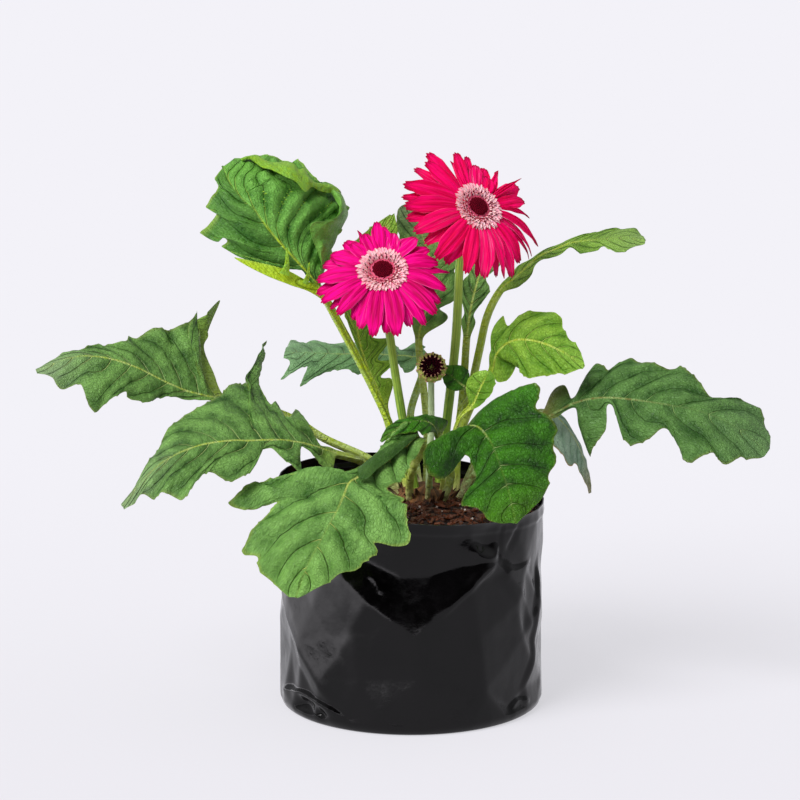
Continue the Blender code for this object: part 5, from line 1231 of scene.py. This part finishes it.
def buildCrown():
    solid = Solid("strap", "tint")
    spokes = fullTurn(73)
    radii, heights = curvePoints(crown["profile"], 4).T[..., None]
    rough = 1.0 + 0.05 * softNoise(spokes * 9, heights / 2, 4) * smoothStep(0, 10, radii)
    rough[:, -1] = rough[:, 0]
    ring = spun(radii * rough, heights, spokes)
    inner = ring * (0.6, 0.6, 0.0) + crown["floor"] * upright
    solid.addSheet(ring + crownCentre, inner + crownCentre, closed=True,
                   strap=pack(spokes * 12, 0.0), tint=(0.2, 0.0))
    t = np.linspace(0, 1, 9)[:, None]
    for i in range(crown["husks"]):
        outward, sideways = compass(2 * math.pi * (i + 0.4 * vary(i, 41)) / crown["husks"])
        reach = pick(i, 42, *crown["huskReach"])
        length = pick(i, 43, *crown["huskLength"], power=1.5)
        lean = 0.25 + 0.035 * (reach - crown["huskReach"][0]) + 0.15 * vary(i, 44)
        foot = crownCentre + outward * reach + crown["huskFoot"] * upright
        line = foot + length * (outward * lean * (t + 0.25 * t**2) + upright * (t - 0.15 * t**2))
        line = line + sideways * (1.5 * vary(i, 45) * t**2)
        widths = pick(i, 46, *crown["huskHalfWidth"]) * (1 - 0.85 * t[:, 0] ** 2.2)
        solid.addStrap(line, widths, -sideways, -outward, cup=0.35, thick=0.5, chance=pick(i, 47), columns=7)
    solid.make(makeHuskMaterial(), "crown_sheath", "crown", name="crownHusks", welded=True)


buildCrown()

# Open heads. A petal is a strap from the rim of the disc: its turn round the disc in degrees, its length, its
# half width, how far it rises at its root, how much it falls on its way out, how far its tip swings sideways,
# and 1 in the upper layer.

heads = {
    "bloom_left": dict(
        centre=(-17, -6, 264), faces=(0, -0.72, 0.69), seed=1,
        petals=[
            (96, 25, 4.1, 10, 20, 0, 1), (82, 22, 4.1, 10, 22, 4, 0), (70, 18, 4.6, 10, 30, 3, 1),
            (54, 21.5, 5.6, 12, 36, -1, 1), (36, 23, 4.9, 6, 30, -1, 0), (22, 23, 5.5, 10, 34, -5, 1),
            (6, 29.5, 2.8, 4, 26, -2, 0), (352, 28.5, 5.8, 10, 34, -6, 1), (337, 29, 5.8, 6, 34, -4, 0),
            (325, 32, 5.8, 10, 36, -5, 1), (312, 32.5, 4.8, 6, 36, -4, 0), (300, 29, 4.8, 4, 36, -3, 0),
            (288, 34.5, 5.8, 10, 36, -5, 1), (278, 31, 4.6, 6, 34, -3, 0), (260, 34.5, 5.2, 8, 34, 2, 1),
            (247, 29.5, 5.8, 6, 38, 2, 0), (235, 25.5, 4.6, 4, 38, 3, 0), (226, 29, 5, 10, 40, 1, 1),
            (216, 28.5, 4.3, 6, 42, 0, 0), (208, 31, 4.9, 10, 44, 0, 1), (200, 31, 5.3, 6, 44, -3, 0),
            (186, 29, 5.8, 10, 40, 0, 1), (172, 26.5, 5.8, 6, 38, -3, 0), (158, 23, 5.8, 12, 38, 0, 1),
            (140, 22.5, 5.5, 8, 36, -3, 0), (132, 17, 5.5, 14, 38, 0, 1), (120, 23, 3, 8, 20, -2, 0),
            (110, 17.5, 4.1, 14, 24, 1, 1),
        ],
    ),
    "bloom_right": dict(
        centre=(39, -2, 301), faces=(0.44, -0.68, 0.58), seed=2,
        petals=[
            (99, 26.5, 4.4, 10, 20, -4, 1), (86, 26, 3.5, 6, 22, -5, 0), (74, 20, 4.6, 10, 30, -2, 1),
            (59, 22.5, 4.8, 6, 30, -1, 0), (46, 15.5, 4.6, 12, 40, 2, 1), (32, 23, 2.8, 4, 10, 7, 0),
            (24, 32.5, 1.9, 12, 30, 0, 1), (18, 31, 5.3, 8, 36, 2, 0), (4, 27.5, 4.8, 10, 40, 1, 1),
            (354, 30.5, 1.8, 14, 60, -2, 1), (340, 38, 3.2, 12, 62, -8, 1), (329, 39, 2.6, 8, 64, -4, 0),
            (320, 39.5, 2.1, 6, 66, 2, 0), (308, 31.5, 4.6, 10, 56, -4, 1), (295, 35.5, 4.6, 8, 50, -5, 0),
            (285, 34.5, 3.5, 10, 46, -6, 1), (276, 32.5, 2.9, 4, 46, -1, 0), (266, 34.5, 5.2, 10, 40, -6, 1),
            (256, 33.5, 4.1, 6, 38, -2, 0), (240, 36, 4.8, 10, 34, 1, 1), (228, 35, 5.8, 6, 30, -2, 0),
            (218, 39.5, 5.8, 10, 28, -1, 1), (204, 35.5, 5.2, 6, 26, 0, 0), (190, 39.5, 5.8, 10, 26, 3, 1),
            (179, 37.5, 5.6, 6, 26, 2, 0), (170, 38.5, 5.6, 10, 26, 3, 1), (163, 37.5, 4.6, 6, 24, 1, 0),
            (151, 37.5, 5.8, 10, 26, 4, 1), (140, 33, 4.1, 4, 22, -4, 0), (130, 30, 4.9, 10, 22, -2, 1),
            (121, 33.5, 4.9, 6, 20, -4, 0), (108, 22, 2.2, 12, 30, -4, 1),
        ],
    ),
}

petal = dict(
    root=11, thickness=0.45, rows=24, columns=13,
    layerHeight=(-0.6, 0.5),   # how high a petal's root stands, in the lower and in the upper layer
    groove=0.42, cup=0.16,
    blunt=3.2,                 # petals of this half width and more end bluntly
)
disc = dict(
    base=0.6, radii=(11.6, 9.0, 5.0),
    fringe=[  # count, radius of the root, rise, length, half width
        (46, 11.4, 10, 4.6, 0.9), (42, 10.6, 26, 4.6, 0.85), (38, 9.6, 42, 3.8, 0.8),
        (32, 8.6, 56, 3.0, 0.7), (26, 7.4, 70, 2.3, 0.6),
    ],
    anthers=40, antherRadius=(6.6, 11.0),
    florets=120, eyeRadius=5.8, dome=2.2, floretSize=0.56,
    floretShape=[(0.0, -0.8), (0.8, -0.6), (1.0, 0.0), (0.9, 0.4), (0.45, 0.9), (0.0, 1.0)],  # radius, height
)
# a cup's outline and the wall that its bracts lie on (heights, radii), then for each row of bracts their
# count, lowest and highest point, half width and flare of the tip
bloomCup = dict(
    profile=[(0, -12), (3.4, -12), (5.6, -10), (8.6, -7.2), (10.8, -3.4), (11.4, -1.2), (0, -1.2)],
    wall=([-12, -10, -7.2, -3.4, -1.2, 2], [3.4, 5.6, 8.6, 10.8, 11.4, 11.6]),
    bracts=[(16, -10.5, -4.5, 1.5, 0.5), (18, -8.5, -2.2, 1.6, 0.9), (20, -6.5, -1.0, 1.5, 1.6)],
)
budCup = dict(
    profile=[(0, -8.5), (2.7, -8.5), (5.6, -6.8), (7.8, -4.6), (8.8, 0), (8.0, 2.6), (5.4, 3.0), (0, 2.6)],
    wall=([-8.5, -6.8, -4.6, 0, 2.6, 6], [2.7, 5.6, 7.8, 8.6, 7.9, 6.0]),
    bracts=[(13, -7.0, 1.6, 1.5, 0.9), (14, -5.0, 3.8, 1.4, 0.4), (15, -2.0, 5.6, 1.2, -0.9)],
)
bud = dict(centre=(12, -8, 206), faces=(0.02, -0.93, 0.36), florets=80, eyeRadius=5.2, eyeHeight=2.7)


def headMatrix(look):
    rotation = Vector(look["faces"]).to_track_quat("Z", "Y").to_matrix().to_4x4()
    return Matrix.Translation(Vector(look["centre"]) * mm) @ rotation


def makePetalMaterial(name, deep, bright, pale, tip):
    finish = Finish(name, Specular_IOR_Level=0.05)
    times, remap = finish.times, finish.remap
    lines = finish.use(streaks, Lines=2.6, Length=1.3)
    grooves = lines["Grooves"]
    chance, below = finish.uv("tint")
    colour = finish.layers(
        deep,
        (lines["Streak"], bright),
        (times(remap(chance, 0.3, 1.0), 0.5), bright),
        (times(remap(grooves, 0.52, 0.7), remap(chance, 0.62, 0.95, 0.04, 0.6)), pale),
        (remap(lines["Along"], 0.86, 1.02, 0.0, 0.8), tip),
        (remap(finish.maths("ABSOLUTE", lines["Across"]), 0.9, 1.0, 0.0, 0.15), pale),
        (times(below, 0.4), pale),
    )
    return finish.done(colour, grooves, 0.9, remap(grooves, 0.2, 0.8, 0.5, 0.66))


def addPetal(solid, row, chance, twist):
    turn, length, halfWidth, rise, droop, swing, layer = row
    along = np.linspace(0, 1, petal["rows"])[:, None]
    side = np.linspace(1, -1, petal["columns"])  # clockwise, to the right of a petal that points outwards
    blunt = smoothStep(petal["blunt"] - 0.8, petal["blunt"] + 0.8, halfWidth + vary(turn, 3))
    reach = 1 - (0.17 - 0.09 * blunt) * np.abs(side) ** (1.4 + 0.9 * blunt)
    t = along * (reach - 0.02 * blunt * (1 - np.cos(3 * np.pi * side + chance)))
    slope = np.radians(rise - droop * t / 2)  # the middle slope from the root out to t
    steep = np.radians(rise - droop * t)[..., None]
    width = halfWidth * (0.5 + 0.5 * np.sin(0.5 * np.pi * np.minimum(1, 1.7 * along)))
    width = width * (1 - (0.75 - 0.33 * blunt) * smoothStep(0.62 + 0.14 * blunt, 1.0, along))
    groove = petal["groove"] * (np.cos(2.5 * np.pi * side) - 1)
    lift = groove * np.sin(np.pi * np.minimum(1, 1.1 * along)) ** 0.5
    lift = lift - petal["cup"] * halfWidth * side**2 * (1 - along)
    lift = lift + 0.25 * softNoise(7 * along + chance * 9, side + chance, 4)
    lift = lift + np.sin(twist * along) * side * width
    radial, sideways = compass(math.radians(turn))
    normal = upright * np.cos(steep) - radial * np.sin(steep)
    points = radial * (petal["root"] + length * t * np.cos(slope))[..., None] + normal * lift[..., None]
    points = points + sideways * (side * width * np.cos(twist * along) + swing * along**2)[..., None]
    points = points + upright * (petal["layerHeight"][layer] + length * t * np.sin(slope))[..., None]
    thick = petal["thickness"] * (1 - 0.6 * side**6)[:, None]
    solid.addSheet(points, points - normal * thick, strap=pack(side, along),
                   tint=(chance, 0.0), tintBelow=(chance, 1.0))


def makeFringeMaterial():
    finish = Finish("fringePink", 0.55, Subsurface_Weight=0.12, Subsurface_Scale=0.002)
    lines = finish.use(streaks, Lines=1.5, Length=1.5)
    colour = finish.layers(
        "#f08ca4", (lines["Streak"], "#ffbcc8"), (finish.times(finish.uv("tint")[0], 0.45), "#fff0e6"),
        (finish.remap(lines["Along"], 0.45, 0.0), "#d8486e"))
    return finish.done(colour, lines["Grooves"], 0.2)


def makeFloretMaterial(name, deep, light):
    finish = Finish(name, 0.7, Specular_IOR_Level=0.04)
    lines = finish.use(streaks, Lines=2.0, Length=2.0)
    outer = finish.remap(lines["Along"], 0.3, 1.0)
    colour = finish.layers(deep, (outer, light), (finish.times(lines["Streak"], 0.4), deep))
    return finish.done(colour, lines["Grooves"], 0.25)


def makeGreenMaterial(name, dark, light, tip):
    finish = Finish(name, 0.55)
    lines = finish.use(streaks, Lines=3.0, Length=2.0)
    patches = finish.use(mottle, Size=20.0, Contrast=0.9, Seed=17.0)
    colour = finish.layers(
        dark, (lines["Streak"], light), (finish.times(patches["Mask"], 0.5), light),
        (finish.remap(lines["Along"], 0.8, 1.0), tip))
    return finish.done(colour, finish.maths("ADD", lines["Grooves"], patches["Fine"]), 0.35)


def addTongue(solid, turn, radius, height, rise, length, halfWidth, chance,
              cup=0.5, thick=0.3, curl=25.0, rows=7):
    # a short floret that stands out from the disc
    radial, sideways = compass(math.radians(turn))
    t = np.linspace(0, 1, rows)
    slope = np.radians(rise - curl * t / 2)
    line = radial * (radius + length * t * np.cos(slope))[:, None]
    line = line + upright * (height + length * t * np.sin(slope))[:, None]
    widths = halfWidth * (0.75 + 0.35 * np.sin(np.pi * t)) * (1 - 0.7 * smoothStep(0.7, 1.0, t))
    solid.addStrap(line, widths, -sideways, upright - radial * 0.4, cup, thick, chance)


def addFlorets(solid, base):
    # closed florets packed in a spiral over a low dome, and the dome under them
    count, radius, dome = disc["florets"], disc["eyeRadius"], disc["dome"]
    slope = np.linspace(np.pi / 2, 0, 9)[:, None]
    ring = spun(radius * np.sin(slope), base + dome * np.cos(slope), fullTurn(37))
    below = ring * (0.9, 0.9, 0.0) + (base - 0.4) * upright
    solid.addSheet(ring, below, closed=True, strap=np.zeros(2), tint=np.zeros(2))
    rings, heights = np.array(disc["floretShape"]).T[..., None, None]
    turns = fullTurn(7)[:, None]
    strap = pack(np.zeros(7), np.linspace(0, 1, len(rings))[:, None])
    for i in range(count):
        share = math.sqrt((i + 0.5) / count)
        outward = compass(math.radians(goldenAngle * i))[0]
        middle = outward * radius * share + upright * (base + dome * math.sqrt(1 - share**2 * 0.98))
        axis = normalised(outward * share * 0.8 + upright)
        side = normalised(np.cross(axis, (0.3, 0.9, 0.1)))
        size = disc["floretSize"] * (0.75 + 0.5 * share)
        around = side * np.cos(turns) + np.cross(axis, side) * np.sin(turns)
        solid.addPod(middle + size * (axis * heights * 1.1 + around * rings), strap, pick(i, 5))


def buildDisc(node, matrix, fringe, anther, eye):
    pale, dark, middle = Solid("strap", "tint"), Solid("strap", "tint"), Solid("strap", "tint")
    base = disc["base"]
    radii = np.array(disc["radii"])[::-1, None]
    ring = spun(radii, base + 0.1 * (radii.max() - radii), fullTurn(49))
    pale.addSheet(ring, ring - 0.9 * upright, closed=True, strap=np.zeros(2), tint=np.zeros(2))
    for row, (count, radius, rise, length, halfWidth) in enumerate(disc["fringe"]):
        for i in range(count):
            turn = 360 * (i + 0.5 * (row % 2) + 0.22 * vary(i, 50 + row)) / count
            reach = length * (1 + 0.2 * vary(i, 60 + row))
            steep = rise + 9 * vary(i, 70 + row)
            addTongue(pale, turn, radius, base, steep, reach, halfWidth, pick(i, 80 + row))
    low, high = disc["antherRadius"]
    for i in range(disc["anthers"]):
        share = i / disc["anthers"]
        steep = 74 - 8 * share + 8 * vary(i, 91)
        addTongue(dark, goldenAngle * i, low + (high - low) * share, base + 1.0, steep, length=1.9,
                  halfWidth=0.3, chance=pick(i, 92), cup=0.2, thick=0.4, curl=10.0, rows=5)
    addFlorets(middle, base + 0.3)
    pale.make(fringe, "fringe_pink", node + "_fringe", matrix=matrix)
    dark.make(anther, "eye_maroon", node + "_fringe", name=pieceName(node + "_anthers"), matrix=matrix)
    middle.make(eye, "eye_maroon", node + "_eye", matrix=matrix, welded=True)


def buildCup(node, look, matrix, material):  # a green cup with rows of pointed scales that lie on it
    solid = Solid("strap", "tint")
    turns = fullTurn(49)
    radii, heights = curvePoints(look["profile"], 4).T[..., None]
    solid.addPod(spun(radii, heights, turns), pack(turns * 4, np.linspace(0, 0.6, len(radii))[:, None]), 0.3)
    t = np.linspace(0, 1, 10)
    for row, (count, low, high, halfWidth, flare) in enumerate(look["bracts"]):
        height = low + (high - low) * t
        out = np.interp(height, *look["wall"]) + 0.3 + flare * t**2
        widths = halfWidth * np.sin(np.pi * np.minimum(1, 0.28 + 0.72 * t)) ** 0.8 * (1 - 0.3 * t) + 0.12
        for i in range(count):
            angle = 2 * math.pi * (i + 0.5 * (row % 2)) / count + 0.05 * vary(i, row)
            radial, sideways = compass(angle)
            line = radial * out[:, None] + upright * height[:, None]
            solid.addStrap(line, widths, sideways, -radial, cup=0.25, thick=-0.5, chance=pick(i, row + 3))
    solid.make(material, "calyx_green", node, matrix=matrix, welded=True)


def buildHeads():
    petals = dict(
        bloom_left=makePetalMaterial("petalMagenta", "#b80050", "#f8008c", "#ff9ad2", "#98002c"),
        bloom_right=makePetalMaterial("petalRed", "#da0044", "#ff046c", "#ff86b4", "#940026"),
    )
    fringe = makeFringeMaterial()
    anther = makeFloretMaterial("antherMaroon", "#84283c", "#4a0e1c")
    eye = makeFloretMaterial("eyeMaroon", "#420312", "#78061f")
    calyx = makeGreenMaterial("calyxGreen", "#3f6420", "#7d9c45", "#8a6a52")
    for node, look in heads.items():
        matrix = headMatrix(look)
        rays = Solid("strap", "tint")
        for i, row in enumerate(look["petals"]):
            salt = 10 * look["seed"]
            addPetal(rays, row, pick(i, salt + 4), 0.3 * vary(i, salt + 5))
        rays.make(petals[node], "petal_pink", node + "_petals", matrix=matrix)
        buildDisc(node, matrix, fringe, anther, eye)
        buildCup(node + "_calyx", bloomCup, matrix, calyx)


def buildBud():
    matrix = headMatrix(bud)
    buildCup("bud_bracts", budCup, matrix, makeGreenMaterial("budGreen", "#6a7c24", "#c0c25a", "#e6a48c"))
    inside = Solid("strap", "tint")
    for i in range(bud["florets"]):
        share = math.sqrt((i + 0.5) / bud["florets"])
        addTongue(inside, goldenAngle * i, bud["eyeRadius"] * share, bud["eyeHeight"], rise=80 - 62 * share,
                  length=3.0 + 0.8 * vary(i, 8), halfWidth=0.7, chance=pick(i, 6), cup=0.3, thick=0.4,
                  curl=-30 * share, rows=6)
    maroon = makeFloretMaterial("budMaroon", "#160208", "#3c0416")
    inside.make(maroon, "eye_maroon", "bud_florets", matrix=matrix)


buildHeads()
buildBud()
print("heads and bud made")

# Flower stalks

scapes = {  # drop is how far below the head's centre its calyx ends
    "scape_left": dict(
        seat=("inner", 225), line=[(-4, 4, 166), (-9, 7, 196), (-13, 8, 224), (-16, 9, 243)],
        radius=(2.7, 2.3), head=heads["bloom_left"], drop=12.05,
    ),
    "scape_right": dict(
        seat=("inner", 45), line=[(22, 16, 172), (27, 19, 219), (29, 20, 262), (31, 17, 282)],
        radius=(2.9, 2.4), head=heads["bloom_right"], drop=12.05,
    ),
    "scape_bud": dict(
        seat=("inner", 275), line=[(11, -1, 148), (12, 2, 168), (12, 6, 186), (12, 8, 194)],
        radius=(2.1, 1.8), head=bud, drop=8.5,
    ),
}
scapeBuild = dict(
    gap=0.35,   # between the stalk's end and the calyx that it carries
    neck=4.5,   # the stalk meets the calyx straight on over this length
    rowGap=1.5, spokes=25, ridges=8, ridge=0.03, flare=0.8,
)


def buildScape(node, look, material):
    faces = np.array(Vector(look["head"]["faces"]).normalized())
    top = np.array(look["head"]["centre"]) - faces * (look["drop"] + scapeBuild["gap"])
    midline = Midline([seatPoint(*look["seat"]), *look["line"], top - faces * scapeBuild["neck"], top])
    distance = np.linspace(0, midline.length, int(midline.length / scapeBuild["rowGap"]))
    line, _ = midline.at(distance)
    share = distance / midline.length
    low, high = look["radius"]
    radii = low + (high - low) * share
    radii = radii * (1 + 0.03 * softNoise(distance / 9, 0 * distance, 2))
    radii += scapeBuild["flare"] * smoothStep(0.97, 1.0, share)
    heading = normalised(np.gradient(line, axis=0))
    side = normalised(np.cross(heading, (0.0, 1.0, 0.0)))
    turns = fullTurn(scapeBuild["spokes"])[:, None]
    around = side[:, None] * np.cos(turns) + np.cross(heading, side)[:, None] * np.sin(turns)
    swell = radii[:, None, None] * (1 + scapeBuild["ridge"] * np.cos(scapeBuild["ridges"] * turns))
    strap = pack(np.linspace(0, 8, len(turns)), (share * 0.78)[:, None])
    solid = Solid("strap", "tint")
    solid.addPod(line[:, None] + around * swell, strap, 0.4)
    solid.make(material, "scape_green", node, welded=True)


scapeGreen = makeGreenMaterial("scapeGreen", "#548414", "#aaca48", "#9cb040")
paleScape = makeGreenMaterial("paleScape", "#8fae74", "#c6d6a8", "#b8c890")
for node, look in scapes.items():
    buildScape(node, look, paleScape if node == "scape_bud" else scapeGreen)
print("flower stalks made")

# Floor, light and camera

studio = dict(
    target=(-6.7, 0, 184.8), distance=1700, elevation=11, lens=127.8,
    floorSize=60000, background="#f2f1f6", paper=("#838186", "#8c8b8f"),
    # painted light falloff: the floor paper's colour is darker at the front and lighter towards the back
    paperFront=-400, paperBack=900,   # the paper grows lighter from here to here
    leftGlow=(4.2, 4.1, 4.3, 1),      # the light that the film mirrors on its left
    glowStart=-150, glowFull=-420,
    sunPower=3.2, sunSpread=36, sunTilt=(46, 0, -42),
    horizon=(0.8, 0.79, 0.84, 1), sides=(0.42, 0.42, 0.44, 1),
    front=(0.01, 0.01, 0.01, 1), above=(0.6, 0.6, 0.62, 1),
)


def buildStage():
    half = 0.5 * studio["floorSize"] * mm
    mesh = bpy.data.meshes.new("floor")
    corners = [(-half, -half, 0), (half, -half, 0), (half, half, 0), (-half, half, 0)]
    mesh.from_pydata(corners, [], [range(4)])
    finish = Finish("floorPaper", 0.9, Specular_IOR_Level=0.0, Emission_Strength=0.66)
    x, y, _ = finish.split(finish.node("TexCoord").outputs["Object"])
    # painted reflection: left of the bag the floor glows with leftGlow in mirrored rays only, so the film
    # shows a bright reflection there; elsewhere the floor glows evenly
    mirrored = finish.node("LightPath").outputs["Is Glossy Ray"]
    lit = finish.times(mirrored, finish.remap(x, studio["glowStart"] * mm, studio["glowFull"] * mm))
    # painted light falloff: darker paper at the front, lighter at the back
    far = finish.remap(y, studio["paperFront"] * mm, studio["paperBack"] * mm)
    finish.feed(finish.shader["Emission Color"], finish.mix(lit, studio["background"], studio["leftGlow"]))
    finish.feed(finish.shader["Base Color"], finish.mix(far, *studio["paper"]))
    mesh.materials.append(finish.material)
    floor = bpy.data.objects.new("floor", mesh)
    scene.collection.objects.link(floor)


def buildWorld():
    scene.world = bpy.data.worlds.new("studio")
    scene.world.use_nodes = True
    sky = Shading(scene.world.node_tree)
    _, y, z = sky.split(sky.node("TexCoord").outputs["Generated"])
    colour = sky.mix(sky.remap(y, -0.2, -0.75), studio["sides"], studio["front"])
    colour = sky.mix(sky.remap(z, 0.0, 0.06), studio["horizon"], colour)
    colour = sky.mix(sky.remap(z, 0.45, 0.8), colour, studio["above"])
    background = sky.tree.nodes["Background"].inputs
    sky.feed(background["Color"], colour)
    background["Strength"].default_value = 1.0


def buildLight():
    sun = bpy.data.lights.new("key", "SUN")
    sun.energy = studio["sunPower"]
    sun.angle = math.radians(studio["sunSpread"])
    lamp = bpy.data.objects.new("key", sun)
    lamp.rotation_euler = [math.radians(a) for a in studio["sunTilt"]]
    scene.collection.objects.link(lamp)


def buildCamera():
    camera = bpy.data.cameras.new("view")
    camera.lens = studio["lens"]
    camera.sensor_width = 36
    view = bpy.data.objects.new("view", camera)
    tilt = math.radians(studio["elevation"])
    away = Vector((0, -math.cos(tilt), math.sin(tilt))) * studio["distance"]
    view.location = (Vector(studio["target"]) + away) * mm
    view.rotation_euler = (math.radians(90 - studio["elevation"]), 0, 0)
    scene.collection.objects.link(view)
    scene.camera = view
    scene.view_settings.view_transform = "Standard"


buildStage()
buildWorld()
buildLight()
buildCamera()

print("stage, light and camera made")
